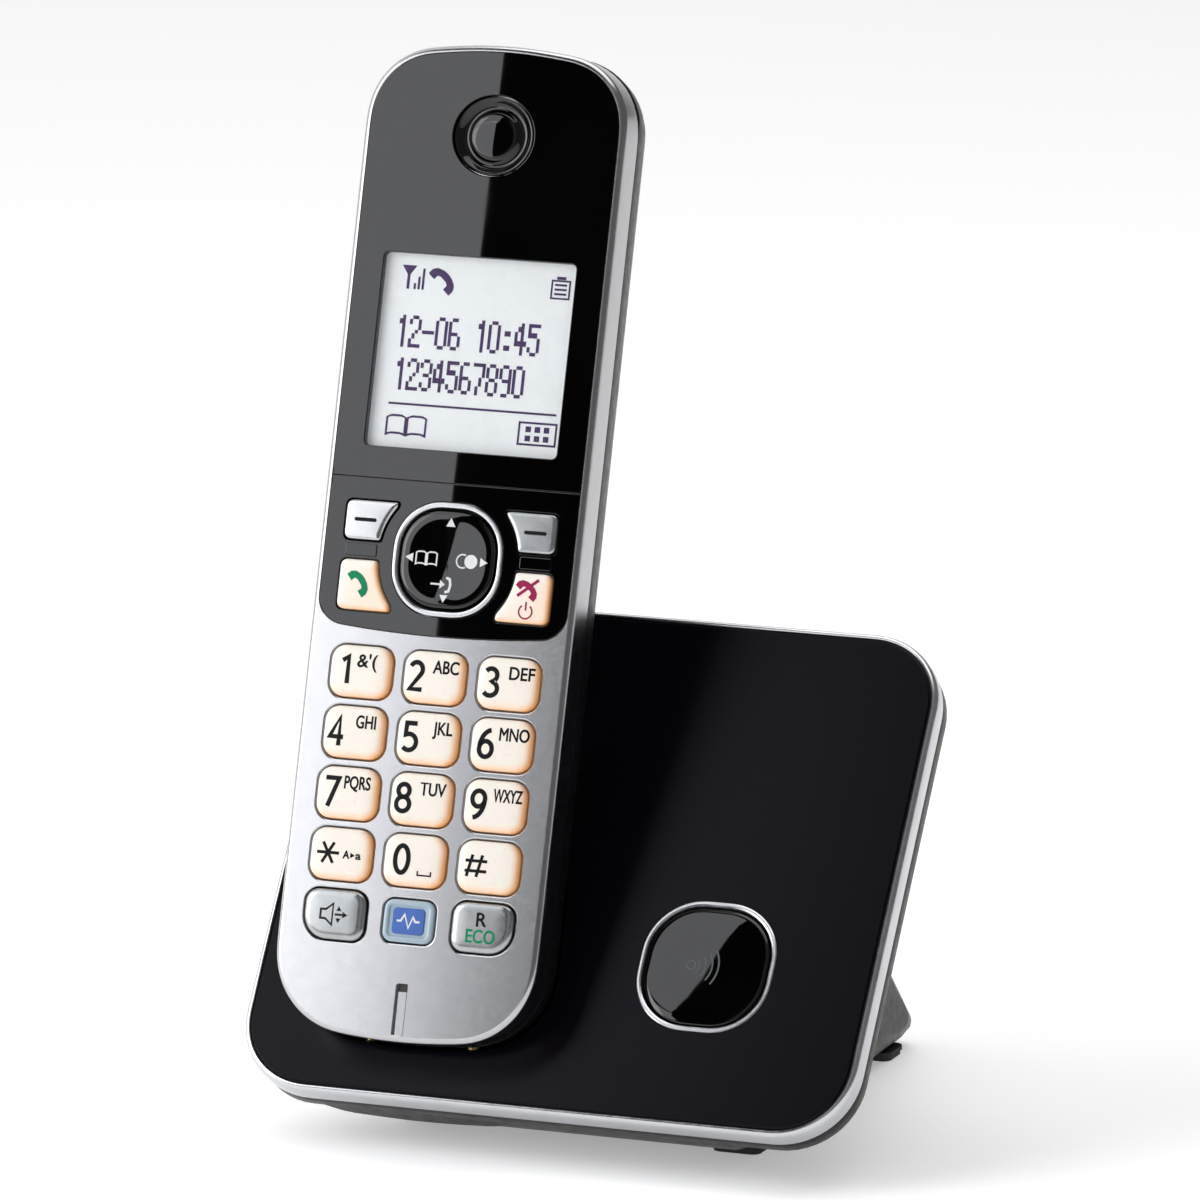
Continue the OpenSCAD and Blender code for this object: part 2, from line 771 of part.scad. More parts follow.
module base_shield() {
  color(steel) on_face() translate([14, 50, bpcb_z]) difference() {
    cube([24, 20, 2.6]);
    translate([0.3, 0.3, -eps]) cube([23.4, 19.4, 2.3]);
  }
}

module base_antenna() {
  color(brass) on_face() translate([43, 30, bpcb_z]) {
    cube([0.6, 34, 3]);
    cube([4, 0.6, 3]);
    translate([0, 33.4, 0]) cube([4, 0.6, 3]);
  }
}

module base_screws() {
  color(steel) on_face() for (p = base_screw_at)
    translate([p[0], p[1], -9.3]) screw(2.5, 1.3, 1.25, 7.4);
}

handset_front_cover();
handset_rear_cover();
battery_cover();
display_panel();
display_lens();
lcd_glass();
lcd_frame();
nav_panel();
nav_ring();
nav_pivot();
nav_key();
soft_key_left();
soft_key_right();
talk_key();
off_key();
key_1();
key_2();
key_3();
key_4();
key_5();
key_6();
key_7();
key_8();
key_9();
key_star();
key_0();
key_hash();
speaker_key();
clear_key();
recall_key();
keypad_mat();
handset_pcb();
handset_shield();
earpiece_cap();
earpiece_speaker();
ringer_speaker();
microphone();
battery_cells();
battery_springs();
handset_contacts();
handset_screws();
base_front_panel();
base_trim();
base_rear_case();
cradle_cup();
charge_contact_left();
charge_contact_right();
stand_housing();
line_jack();
dc_inlet();
base_feet();
locator_ring();
locator_button();
locator_switch();
base_pcb();
base_shield();
base_antenna();
base_screws();
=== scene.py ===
import json
import math

import bmesh
import bpy
from mathutils import Matrix, Vector
from mathutils.bvhtree import BVHTree


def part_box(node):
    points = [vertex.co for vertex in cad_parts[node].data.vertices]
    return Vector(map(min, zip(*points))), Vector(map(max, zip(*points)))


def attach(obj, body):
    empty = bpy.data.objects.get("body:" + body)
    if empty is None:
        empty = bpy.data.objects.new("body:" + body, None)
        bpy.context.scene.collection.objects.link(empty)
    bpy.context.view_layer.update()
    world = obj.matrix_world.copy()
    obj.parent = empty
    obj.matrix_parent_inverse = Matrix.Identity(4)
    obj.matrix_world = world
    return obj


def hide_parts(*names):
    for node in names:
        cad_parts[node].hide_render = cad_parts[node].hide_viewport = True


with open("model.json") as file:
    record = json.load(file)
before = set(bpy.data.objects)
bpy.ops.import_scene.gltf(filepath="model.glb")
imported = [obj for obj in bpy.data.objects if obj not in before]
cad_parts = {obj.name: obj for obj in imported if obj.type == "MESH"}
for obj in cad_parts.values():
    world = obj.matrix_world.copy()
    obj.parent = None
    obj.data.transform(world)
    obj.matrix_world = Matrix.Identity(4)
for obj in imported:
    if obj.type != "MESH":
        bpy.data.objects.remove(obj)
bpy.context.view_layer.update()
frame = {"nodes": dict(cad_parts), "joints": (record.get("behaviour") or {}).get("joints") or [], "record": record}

joints = {j["name"]: j for j in frame["joints"]}
nodes = frame["nodes"]

# ---------------------------------------------------------------- frames
# unit vectors: X to the right, V up the face and N out of it, for the handset (H) and the base (P)
X = Vector((1, 0, 0))
VH = Vector(joints["handset_lift"]["axis"]).normalized()
NH = -Vector(joints["key_5_press"]["axis"]).normalized()
NP = -Vector(joints["locator_press"]["axis"]).normalized()
VP = NP.cross(X)

NAV_Y = 79.1            # height of the navigation key's centre on the handset's face, mm
PITCH_Z = -3.7          # depth of the axis that the key tilts on, mm
LOC = (24.2, 26.9)      # centre of the locator button on the base's face, mm
RING_MID = 0.975        # depth of the middle of the locator ring's box below the face, mm
MM = 0.001

OH = Vector(joints["nav_pitch"]["pos_m"]) - VH * NAV_Y * MM - NH * PITCH_Z * MM
ring_low, ring_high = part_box("locator_ring")
OP = (ring_low + ring_high) / 2 - X * LOC[0] * MM - VP * LOC[1] * MM + NP * RING_MID * MM


def local(o, v, n):
    """Matrix from millimetres on a face, with its origin at o, to the row frame."""
    m = Matrix((X, v, n)).transposed().to_4x4()
    m.translation = o
    return m @ Matrix.Diagonal((MM, MM, MM, 1))


HAND = local(OH, VH, NH)     # millimetres on the handset's face: x right, y up, z out of the face
FACE = local(OP, VP, NP)     # the same on the base's face

# ---------------------------------------------------------------- sizes, mm
HAND_L = 164.0                      # handset: length, half width,
HALF_W = 22.9
R_LOW, R_TOP = 13.5, 12.0           # radii of its corners,
CROWN_LOW, CROWN_TOP = 90.0, 75.0   # and of its bowed ends
GLOSS_IN = 1.15                     # glossy field: inset from the outline,
GLOSS_LOW = 66.45                   # lowest point, radius of its lower edge and of the corners there
GLOSS_BOW = 190.0
GLOSS_R = 4.6
GLOSS_SIDE = 5.5                    # where its straight sides end, above the lowest point
PART_Y = (91.58, 91.66)             # upper edge of the navigation panel, lower edge of the display panel
LCD_Y = 112.9                       # display window: height on the face, size and corner radius
LCD_SIZE = (33.7, 32.0, 0.9)
EAR_Y = 149.0                       # earpiece: height on the face, radius of its hole, stretch across
EAR_R = 6.7
EAR_WIDE = 1.06
DISH_WIDE = 1.05                    # the same stretch for the dish in the hole
NAV_W = 19.3                        # width of the navigation ring and of the key inside it
NAV_KEY_W = 16.4
COLS = (-12.93, 0.0, 12.93)         # dial keys: columns, rows, and width, height and corner radius
ROWS = (59.7, 49.7, 39.7, 29.7)
DIAL_KEY = (10.6, 8.5, 2.4)
LOW_Y = 19.8                        # row of keys under the dial
GAP = 0.24                          # gap round every key
SIDES = {"soft": (81.3, 87.8, 9.5), "call": (69.8, 78.0, 9.3)}   # lower and upper edge, inner limit
SIDE_X = 18.5                       # outer edge of those keys beside the ring
CLEAR_HALF = (12.2, 12.1)           # shape kept free round the ring: half width and height, corner radius
CLEAR_R = 11.4
PLATE_Z = (-1.35, -0.04)            # back and front of the glossy plates
LOC_W = 23.4                        # width of the locator ring and of the button inside it
LOC_KEY_W = 20.8

# ---------------------------------------------------------------- materials
def socket(n, name, value):
    n.inputs[name].default_value = value


class Mat:
    """A Principled material with helpers for its procedural detail."""

    def __init__(self, name, color, rough=0.4, metal=0.0, **extra):
        self.m = bpy.data.materials.new(name)
        self.m.use_nodes = True
        self.nt = self.m.node_tree
        self.b = self.nt.nodes["Principled BSDF"]
        socket(self.b, "Base Color", (*color, 1))
        socket(self.b, "Roughness", rough)
        socket(self.b, "Metallic", metal)
        self.color = color
        for k, v in extra.items():
            socket(self.b, k.replace("_", " "), v)
        self.coord = None

    def new(self, kind, **inputs):
        n = self.nt.nodes.new(kind)
        for k, v in inputs.items():
            n.inputs[k.replace("_", " ")].default_value = v
        return n

    def link(self, a, b):
        self.nt.links.new(a, b)

    def where(self):
        if self.coord is None:
            self.coord = self.new("ShaderNodeTexCoord").outputs["Object"]
        return self.coord

    def noise(self, scale, detail=3.0, rough=0.5):
        n = self.new("ShaderNodeTexNoise", Scale=scale, Detail=detail, Roughness=rough)
        self.link(self.where(), n.inputs["Vector"])
        return n.outputs["Fac"]

    def ramp(self, fac, lo, hi, a=0.35, b=0.65):
        r = self.new("ShaderNodeMapRange")
        for k, v in (("From Min", a), ("From Max", b), ("To Min", lo), ("To Max", hi)):
            socket(r, k, v)
        self.link(fac, r.inputs["Value"])
        return r.outputs["Result"]

    def tint(self, fac, ca, cb):
        c = self.new("ShaderNodeMix")
        c.data_type = "RGBA"
        c.inputs[6].default_value = (*ca, 1)
        c.inputs[7].default_value = (*cb, 1)
        self.link(fac, c.inputs[0])
        self.link(c.outputs[2], self.b.inputs["Base Color"])
        return c

    def bump(self, fac, strength, dist):
        bp = self.new("ShaderNodeBump", Strength=strength, Distance=dist)
        self.link(fac, bp.inputs["Height"])
        self.link(bp.outputs["Normal"], self.b.inputs["Normal"])

    def grain(self, scale, spread, strength=0.1, dist=0.00002, rough=0.05):
        """Moulded plastic or paint: a little colour drift, uneven gloss and a fine bump."""
        c = self.color
        drift = self.noise(scale * 0.05, 2.0)
        lo = tuple(v * (1 - spread) for v in c)
        hi = tuple(min(1, v * (1 + spread)) for v in c)
        self.tint(self.ramp(drift, 0, 1), lo, hi)
        fine = self.noise(scale, 4.0, 0.6)
        r0 = self.b.inputs["Roughness"].default_value
        uneven = self.ramp(self.noise(scale * 0.2, 3.0), r0 - rough, r0 + rough)
        self.link(uneven, self.b.inputs["Roughness"])
        self.bump(fine, strength, dist)
        return self


silver = Mat("silver_paint", (0.50, 0.50, 0.515), 0.20, 1.0).grain(9000, 0.02, 0.05, 0.00002, 0.012)
chrome = Mat("silver_trim", (0.60, 0.605, 0.63), 0.22, 0.95).grain(4200, 0.03, 0.05, 0.00002, 0.04)
shell = Mat("black_shell", (0.0055, 0.0055, 0.0065), 0.34, Specular_IOR_Level=0.22)
shell.grain(2600, 0.2, 0.22, 0.00004)
spark = Mat("black_textured", (0.0026, 0.0016, 0.0040), 0.25, Specular_IOR_Level=0.12)
spark.grain(9000, 0.1, 0.25, 0.00004, 0.008)
gloss = Mat("gloss_black", (0.001, 0.001, 0.0012), 0.016, 0.0, IOR=1.52)
gloss.grain(500, 0.3, 0.004, 0.00001, 0.004)
window = Mat("clear_window", (0.6, 0.62, 0.64), 0.03, 0.0, Alpha=0.03, IOR=1.5)
window.grain(300, 0.02, 0.005, 0.00001, 0.01)
lcd = Mat("lcd_glass", (0.67, 0.695, 0.705), 0.28, 0.0, Emission_Strength=0.12)
lcd.grain(900, 0.015, 0.02, 0.00001)
socket(lcd.b, "Emission Color", (0.93, 0.97, 1.0, 1))
pixel = Mat("lcd_pixels", (0.040, 0.010, 0.085), 0.6, Specular_IOR_Level=0.1).grain(3000, 0.2, 0.02)
cream = Mat("cream_key", (0.88, 0.84, 0.78), 0.3, 0.0).grain(1800, 0.02, 0.06)
grey_key = Mat("grey_key", (0.40, 0.415, 0.42), 0.25, 0.92).grain(6000, 0.03, 0.06, 0.00002, 0.015)
pale_key = Mat("clear_key", (0.36, 0.45, 0.52), 0.12, 0.0).grain(1500, 0.05, 0.06)
ink = Mat("legend_ink", (0.004, 0.004, 0.0045), 0.5, Specular_IOR_Level=0.15).grain(3000, 0.3, 0.04)
white_ink = Mat("white_ink", (0.70, 0.71, 0.72), 0.45).grain(3000, 0.05, 0.04)
grey_ink = Mat("grey_ink", (0.085, 0.09, 0.095), 0.4).grain(3000, 0.1, 0.04)
green_ink = Mat("green_ink", (0.0, 0.21, 0.085), 0.5, Specular_IOR_Level=0.2).grain(3000, 0.1, 0.04)
red_ink = Mat("magenta_ink", (0.30, 0.008, 0.07), 0.5, Specular_IOR_Level=0.2).grain(3000, 0.1, 0.04)
blue_ink = Mat("blue_label", (0.04, 0.12, 0.42), 0.35).grain(3000, 0.1, 0.04)
rubber = Mat("rubber", (0.02, 0.02, 0.02), 0.75).grain(2200, 0.2, 0.4, 0.00006)
silicone = Mat("silicone", (0.72, 0.73, 0.70), 0.6).grain(1500, 0.05, 0.15)
board = Mat("board", (0.02, 0.13, 0.06), 0.35).grain(700, 0.25, 0.15)
steel = Mat("steel", (0.56, 0.56, 0.57), 0.3, 1.0).grain(2600, 0.05, 0.12)
brass = Mat("brass", (0.78, 0.60, 0.26), 0.26, 1.0).grain(2200, 0.05, 0.12)
sleeve = Mat("cell_sleeve", (0.10, 0.33, 0.18), 0.3, 0.2).grain(900, 0.06, 0.06)
diffuser = Mat("white_diffuser", (0.85, 0.85, 0.82), 0.5).grain(1200, 0.03, 0.1)
dark = Mat("jack_black", (0.02, 0.02, 0.022), 0.5).grain(1800, 0.2, 0.2)

slot_mats = {"silver": silver, "black_shell": shell, "black_textured": spark, "gloss_black": gloss,
             "clear_window": window, "lcd": lcd, "white_diffuser": diffuser, "cream_key": cream,
             "grey_key": grey_key, "clear_key": pale_key, "silicone": silicone, "board": board,
             "steel": steel, "brass": brass, "cell_sleeve": sleeve, "jack_black": dark,
             "foot_rubber": rubber}
for part in frame["record"]["subparts"]:
    carried = nodes[part["node"]]
    finish = slot_mats[part["material_slot"]].m
    if carried.material_slots:
        for held in carried.material_slots:
            held.material = finish
    else:
        carried.data.materials.append(finish)


# ---------------------------------------------------------------- mesh helpers
def curve_pts(cx, cy, rx, ry, a0, a1, n=16):
    """Points of an elliptical arc from a0 to a1 degrees, both ends included."""
    return [(cx + rx * math.cos(math.radians(a0 + (a1 - a0) * i / n)),
             cy + ry * math.sin(math.radians(a0 + (a1 - a0) * i / n))) for i in range(n + 1)]


def arc(cx, cy, r, a0, a1, n):
    return curve_pts(cx, cy, r, r, a0, a1, n)


def resample(pts, n, smooth=0):
    """Closed loop through pts with n even points, then evened out smooth times."""
    v = [Vector(p) for p in pts]
    v = [p for i, p in enumerate(v) if (p - v[i - 1]).length > 1e-6]
    seg = [(v[(i + 1) % len(v)] - v[i]).length for i in range(len(v))]
    total = sum(seg)
    out, i, acc = [], 0, 0.0
    for k in range(n):
        t = total * k / n
        while acc + seg[i] < t:
            acc += seg[i]
            i += 1
        out.append(v[i].lerp(v[(i + 1) % len(v)], (t - acc) / seg[i]))
    for _ in range(smooth):
        out = [out[k - 1] * 0.25 + out[k] * 0.5 + out[(k + 1) % n] * 0.25 for k in range(n)]
    return out


def offset(pts, d):
    """Closed loop moved inwards by d; each point moves square to its neighbours."""
    n = len(pts)
    out = []
    for i in range(n):
        t = (pts[(i + 1) % n] - pts[i - 1]).normalized()
        out.append(pts[i] + Vector((-t.y, t.x)) * d)
    return out


def inset(pts, d):
    """Offset inwards that keeps the point count and skips corners too tight for d."""
    n = len(pts)
    moved = offset(pts, d)
    good = [min((q - p).length for p in pts) > abs(d) * 0.985 for q in moved]
    if not any(good):
        return moved
    out = []
    for i in range(n):
        if good[i]:
            out.append(moved[i])
            continue
        a = next(k for k in range(1, n) if good[(i - k) % n])
        b = next(k for k in range(1, n) if good[(i + k) % n])
        out.append(moved[(i - a) % n].lerp(moved[(i + b) % n], a / (a + b)))
    return out


def rrect(w, h, r, cx=0.0, cy=0.0, n=8):
    """Rounded rectangle; r is one radius, or four from the lower right corner round to the lower left."""
    if not isinstance(r, (tuple, list)):
        r = (r, r, r, r)
    a, b = w / 2, h / 2
    p = []
    for sx, sy, a0, rr in ((1, -1, -90, r[0]), (1, 1, 0, r[1]), (-1, 1, 90, r[2]), (-1, -1, 180, r[3])):
        p += arc(cx + sx * (a - rr), cy + sy * (b - rr), rr, a0, a0 + 90, n)
    return [Vector(q) for q in p]


def squircle(w, r, cx=0.0, cy=0.0, n=16):
    """Outline of the navigation ring and of the locator ring, a little wider than high."""
    return rrect(w, w * 0.98, r, cx, cy, n)


def disc(cx, cy, r, n=28, wide=1.0):
    """Circle of n points, stretched sideways by wide."""
    turn = [2 * math.pi * i / n for i in range(n)]
    return [Vector((cx + wide * r * math.cos(a), cy + r * math.sin(a))) for a in turn]


def hand_base():
    """Outline of the handset's face."""
    cb, ct = HALF_W - R_LOW, HALF_W - R_TOP
    db = CROWN_LOW - math.sqrt(CROWN_LOW * CROWN_LOW - cb * cb)
    dt = CROWN_TOP - math.sqrt(CROWN_TOP * CROWN_TOP - ct * ct)
    ab, at = math.degrees(math.asin(cb / CROWN_LOW)), math.degrees(math.asin(ct / CROWN_TOP))
    p = arc(0, CROWN_LOW, CROWN_LOW, -90 - ab, -90 + ab, 12)
    p += arc(cb, db + R_LOW, R_LOW, -90, 0, 24)
    p += arc(ct, HAND_L - dt - R_TOP, R_TOP, 0, 90, 24)
    p += arc(0, HAND_L - CROWN_TOP, CROWN_TOP, 90 - at, 90 + at, 12)
    p += arc(-ct, HAND_L - dt - R_TOP, R_TOP, 90, 180, 24)
    p += arc(-cb, db + R_LOW, R_LOW, 180, 270, 24)
    return resample(p, 400, 6)


OUT = hand_base()


def cut_loop(pts, keep):
    """Closed loop clipped by a half plane: keep(p) > 0, with crossings found by interpolation."""
    out = []
    n = len(pts)
    for i in range(n):
        a, b = pts[i], pts[(i + 1) % n]
        ka, kb = keep(a), keep(b)
        if ka >= 0:
            out.append(a.copy())
        if (ka >= 0) != (kb >= 0):
            out.append(a.lerp(b, ka / (ka - kb)))
    return out


def glossy_loop(d, y_lo=None, y_hi=None):
    """The glossy field of the face, set in by d; its lower edge bows down and has round corners."""
    low = GLOSS_LOW + d
    lp = cut_loop(offset(OUT, GLOSS_IN + d), lambda p: p.y - (low + GLOSS_SIDE))
    top = [p for p in lp if p.y > low + GLOSS_SIDE + 0.1]
    start = max(range(len(top)), key=lambda i: (top[i] - top[i - 1]).length)
    top = top[start:] + top[:start]          # runs right side up, over the top, left side down
    if top[0].x < 0:
        top.reverse()
    r = GLOSS_R
    flank = top[0].x - r
    yb = low + GLOSS_BOW - math.sqrt(GLOSS_BOW ** 2 - flank ** 2)
    under = [Vector(q) for q in arc(-flank, yb + r, r, 180, 270, 10)]
    for i in range(1, 24):
        x = flank * (i / 12 - 1)
        under.append(Vector((x, low + GLOSS_BOW - math.sqrt(GLOSS_BOW ** 2 - x * x))))
    under += [Vector(q) for q in arc(flank, yb + r, r, 270, 360, 10)]
    lp = top + under
    if y_lo is not None:
        lp = cut_loop(lp, lambda p: p.y - y_lo)
    if y_hi is not None:
        lp = cut_loop(lp, lambda p: y_hi - p.y)
    return [p for i, p in enumerate(lp) if (p - lp[i - 1]).length > 1e-3]


def side_loop(s, kind, g, r=1.0, n=6):
    """Key beside the navigation ring, grown by g: straight outside, hollowed on the ring's side."""
    y0, y1, x0 = SIDES[kind]
    xo = SIDE_X + g
    half_w, half_h = (v - g for v in CLEAR_HALF)
    rc = CLEAR_R - g
    ya, yb = y0 - g, y1 + g

    def inner(y):
        # x of the shape kept free round the ring at this height
        dy = abs(y - NAV_Y) - (half_h - rc)
        if dy <= 0:
            return max(half_w, x0 - g)
        if dy >= rc:
            return x0 - g
        return max((half_w - rc) + math.sqrt(rc * rc - dy * dy), x0 - g)

    p = arc(xo - r, yb - r, r, 0, 90, n)
    for i in range(15):
        y = yb - (yb - ya) * i / 14
        p.append((inner(y), y))
    p += arc(xo - r, ya + r, r, 270, 360, n)
    lp = resample(p, 96, 2)
    if s < 0:
        lp = [Vector((-q.x, q.y)) for q in reversed(lp)]
    return lp


class Build:
    """Collects rings and faces in millimetres and makes an object in the row frame."""

    def __init__(self, xf):
        self.bm = bmesh.new()
        self.xf = xf

    def ring(self, pts, z):
        return [self.bm.verts.new((p[0], p[1], z)) for p in pts]

    def bridge(self, a, b):
        n = len(a)
        for i in range(n):
            self.bm.faces.new((a[i], a[(i + 1) % n], b[(i + 1) % n], b[i]))

    def stack(self, loops):
        rings = [self.ring(p, z) for p, z in loops]
        for a, b in zip(rings, rings[1:]):
            self.bridge(a, b)
        return rings

    def walls(self, lp, prof):
        """Rings of the loop lp, one for each (inset, height) of prof."""
        return self.stack([(offset(lp, d) if d else lp, z) for d, z in prof])

    def fill(self, rings):
        edges = []
        for r in rings:
            n = len(r)
            for i in range(n):
                ends = (r[i], r[(i + 1) % n])
                edges.append(self.bm.edges.get(ends) or self.bm.edges.new(ends))
        bmesh.ops.triangle_fill(self.bm, edges=edges, use_beauty=True)

    def cap(self, ring):
        self.bm.faces.new(ring)

    def obj(self, name, material, body, slot, node=(), angle=32, flat_face=True):
        bmesh.ops.recalc_face_normals(self.bm, faces=self.bm.faces)
        smooth = [not (flat_face and abs(f.normal.z) > 0.9999) for f in self.bm.faces]
        me = bpy.data.meshes.new(name)
        self.bm.to_mesh(me)
        self.bm.free()
        me.transform(self.xf)
        me.set_sharp_from_angle(angle=math.radians(angle))
        me.polygons.foreach_set("use_smooth", smooth)
        o = bpy.data.objects.new(name, me)
        bpy.context.scene.collection.objects.link(o)
        me.materials.append(material.m)
        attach(o, body)
        if node:
            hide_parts(*([node] if isinstance(node, str) else node))
        return o


def plate(name, xf, outer, holes, z0, z1, bevel, material, body, slot, node=(), hole_bevel=None):
    """Flat plate with softened front edges all round and at each hole."""
    b = Build(xf)

    def edge(lp, s, bv):
        return b.walls(lp, [(0.0, z0), (0.0, z1 - bv), (s * bv * 0.3, z1 - bv * 0.3), (s * bv, z1)])

    sides = [edge(outer, 1, bevel)] + [edge(h, -1, hole_bevel or bevel) for h in holes]
    b.fill([rings[-1] for rings in sides])
    b.fill([rings[0] for rings in sides])
    return b.obj(name, material, body, slot, node)


def flat(name, xf, shapes, z, thick, material, body, slot):
    """Thin printed or raised marks: each shape is one closed outline, or [outline, hole, ...]."""
    b = Build(xf)
    for s in shapes:
        group = s if isinstance(s[0], list) else [s]
        top = [b.ring(g, z + thick) for g in group]
        low = [b.ring(g, z) for g in group]
        for t, l in zip(top, low):
            b.bridge(l, t)
        b.fill(top)
        b.fill(low)
    return b.obj(name, material, body, slot)


def vec(pts):
    return [Vector(p) for p in pts]


def stroke(pts, w, closed=False):
    """Outline of a line of width w through pts; for a closed line, its outer and inner outline."""
    v = vec(pts)
    n = len(v)
    left, right = [], []
    for i in range(n):
        a = v[i - 1] if closed or i else v[0] * 2 - v[1]
        b = v[(i + 1) % n] if closed or i < n - 1 else v[-1] * 2 - v[-2]
        ta, tb = (v[i] - a).normalized(), (b - v[i]).normalized()
        t = (ta + tb).normalized()
        m = Vector((-t.y, t.x)) * w / 2 / max(0.62, t.dot(ta))
        left.append(v[i] + m)
        right.append(v[i] - m)
    if closed:
        return sorted((left, right), key=lambda p: -abs(area(p)))
    return left + right[::-1]


def area(p):
    return sum(p[i - 1].x * p[i].y - p[i].x * p[i - 1].y for i in range(len(p))) / 2


def box_shape(x0, y0, x1, y1):
    return vec([(x0, y0), (x1, y0), (x1, y1), (x0, y1)])


# ---------------------------------------------------------------- moulded shells
WELD = 2e-6             # vertices nearer to each other than this are joined, metres


def moulded(node, body, material, width, angle=28, flat_area=6e-4):
    """The node's own shape with its sharp outside edges softened, as moulded plastic has them."""
    me = nodes[node].data.copy()
    me.name = node + "_moulded"
    bm = bmesh.new()
    bm.from_mesh(me)
    bmesh.ops.remove_doubles(bm, verts=bm.verts, dist=WELD)
    bmesh.ops.dissolve_limit(bm, angle_limit=math.radians(0.6), verts=bm.verts, edges=bm.edges)
    limit = math.radians(angle)
    edges = [e for e in bm.edges if e.is_manifold and e.is_convex and e.calc_face_angle() > limit
             and e.calc_length() > width]
    bmesh.ops.bevel(bm, geom=edges, offset=width, offset_type="OFFSET", segments=2, profile=0.5,
                    affect="EDGES", clamp_overlap=True)
    bmesh.ops.remove_doubles(bm, verts=bm.verts, dist=WELD)
    bm.to_mesh(me)
    bm.free()
    me.set_sharp_from_angle(angle=math.radians(38))
    me.polygons.foreach_set("use_smooth", [p.area < flat_area for p in me.polygons])
    o = bpy.data.objects.new(node + "_moulded", me)
    bpy.context.scene.collection.objects.link(o)
    me.materials.clear()
    me.materials.append(material.m)
    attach(o, body)
    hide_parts(node)


moulded("handset_rear_cover", "handset", shell, 0.0003)
moulded("battery_cover", "battery_door", shell, 0.0004)
moulded("base_rear_case", "base", shell, 0.0004)
moulded("stand_housing", "base", shell, 0.0004)
moulded("base_front_panel", "base", spark, 0.00025)

# ---------------------------------------------------------------- handset front cover
def dial_loop(c, r, g):
    """Outline of the dial key in column c and row r, grown by g."""
    w, h, corner = DIAL_KEY
    return rrect(w + 2 * g, h + 2 * g, corner + g, COLS[c], ROWS[r])


def low_loop(i, g):
    """Outline of key i in the row under the dial, grown by g; the outer two have one large corner."""
    if i == 1:
        return rrect(8.8 + 2 * g, 7 + 2 * g, 1.6 + g, COLS[1], LOW_Y)
    small, large = 2.2 + g, 4 + g
    corners = (small, small, small, large) if i == 0 else (large, small, small, small)
    return rrect(10.6 + 2 * g, 8.2 + 2 * g, corners, COLS[i], LOW_Y)


SIDE_HOLES = [side_loop(s, kind, GAP) for s in (-1, 1) for kind in SIDES]


def front_cover():
    b = Build(HAND)
    rim = b.walls(OUT, [(1.8, -2.8), (1.8, -6.2), (0.12, -6.2), (0.0, -6.08), (0.0, -1.15), (0.05, -0.78),
                        (0.3, -0.36), (0.62, -0.1), (0.95, 0.0)])
    face, under = [rim[-1]], [rim[0]]
    holes = [dial_loop(c, r, GAP) for r in range(4) for c in range(3)]
    holes += [low_loop(i, GAP) for i in range(3)]
    for lp in holes:
        st = b.walls(lp, [(-0.28, 0.0), (-0.09, -0.07), (0.0, -0.3), (0.0, -2.8)])
        face.append(st[0])
        under.append(st[-1])
    groove = rrect(1.8, 8.5, 0.25, 0, 5.4)       # holds the microphone's hole
    st = b.walls(groove, [(-0.15, 0.0), (0.0, -0.12), (0.0, -0.6)])
    b.cap(st[-1])
    face.append(st[0])
    st = b.walls(glossy_loop(-0.05), [(-0.08, 0.0), (0.0, -0.08), (0.0, -1.4)])
    face.append(st[0])
    ledge = [st[-1]]
    wells = SIDE_HOLES + [squircle(NAV_W - 2.2, 7, 0, NAV_Y), rrect(38.6, 38, 1, 0, LCD_Y),
                          vec(arc(0, EAR_Y, 5.8, 0, 360, 48)[:-1])]
    for lp in wells:
        st = b.walls(lp, [(0.0, -1.4), (0.0, -2.8)])
        ledge.append(st[0])
        under.append(st[1])
    b.fill(face)
    b.fill(ledge)
    b.fill(under)
    b.obj("handset_face", silver, "handset", "silver", "handset_front_cover")


front_cover()
# painted shade: a black patch on the groove's floor stands for the microphone's hole, whose dark inside is not
# modelled
mic = rrect(1.5, 1.6, 0.15, 0, 9.1)
flat("mic_hole", HAND, [mic], -0.59, 0.05, dark, "handset", "jack_black")

# ---------------------------------------------------------------- glossy plates
lcd_loop = rrect(*LCD_SIZE, 0, LCD_Y)
ear_loop = [Vector((EAR_WIDE * x, y)) for x, y in arc(0, EAR_Y, EAR_R, 0, 360, 72)[:-1]]
plate("display_front", HAND, glossy_loop(0.0, y_lo=PART_Y[1]), [lcd_loop, ear_loop], *PLATE_Z, 0.1,
      gloss, "handset", "gloss_black", "display_panel", hole_bevel=0.16)
plate("nav_front", HAND, glossy_loop(0.0, y_hi=PART_Y[0]), SIDE_HOLES + [squircle(NAV_W, 8, 0, NAV_Y)],
      *PLATE_Z, 0.12, gloss, "handset", "gloss_black", "nav_panel")

# earpiece: (radius, height) from the back over the rim to the middle of the dish
DISH = [(5.6, -2.2), (5.6, -1.38), (6.55, -1.36), (6.55, -0.3), (6.42, -0.16), (6.26, -0.18), (6.0, -0.42),
        (5.6, -0.9), (5.2, -1.22), (4.75, -1.3), (4.35, -1.16), (4.05, -0.8), (3.75, -0.55), (3.3, -0.42),
        (2.4, -0.34), (1.3, -0.3), (0.4, -0.29)]
dish = Build(HAND)
rings = dish.stack([(disc(0, EAR_Y, r, 72, DISH_WIDE), z) for r, z in DISH])
dish.cap(rings[0])
dish.cap(rings[-1])
dish.obj("earpiece_dish", gloss, "handset", "gloss_black", "earpiece_cap", angle=40, flat_face=False)


# ---------------------------------------------------------------- navigation ring and key
def band(name, xf, lp, prof, body, node):
    """Metal ring along the loop lp; prof is [(inset, height)] once round its section."""
    b = Build(xf)
    rings = b.walls(lp, prof)
    b.bridge(rings[-1], rings[0])
    b.obj(name, chrome, body, "silver", node)


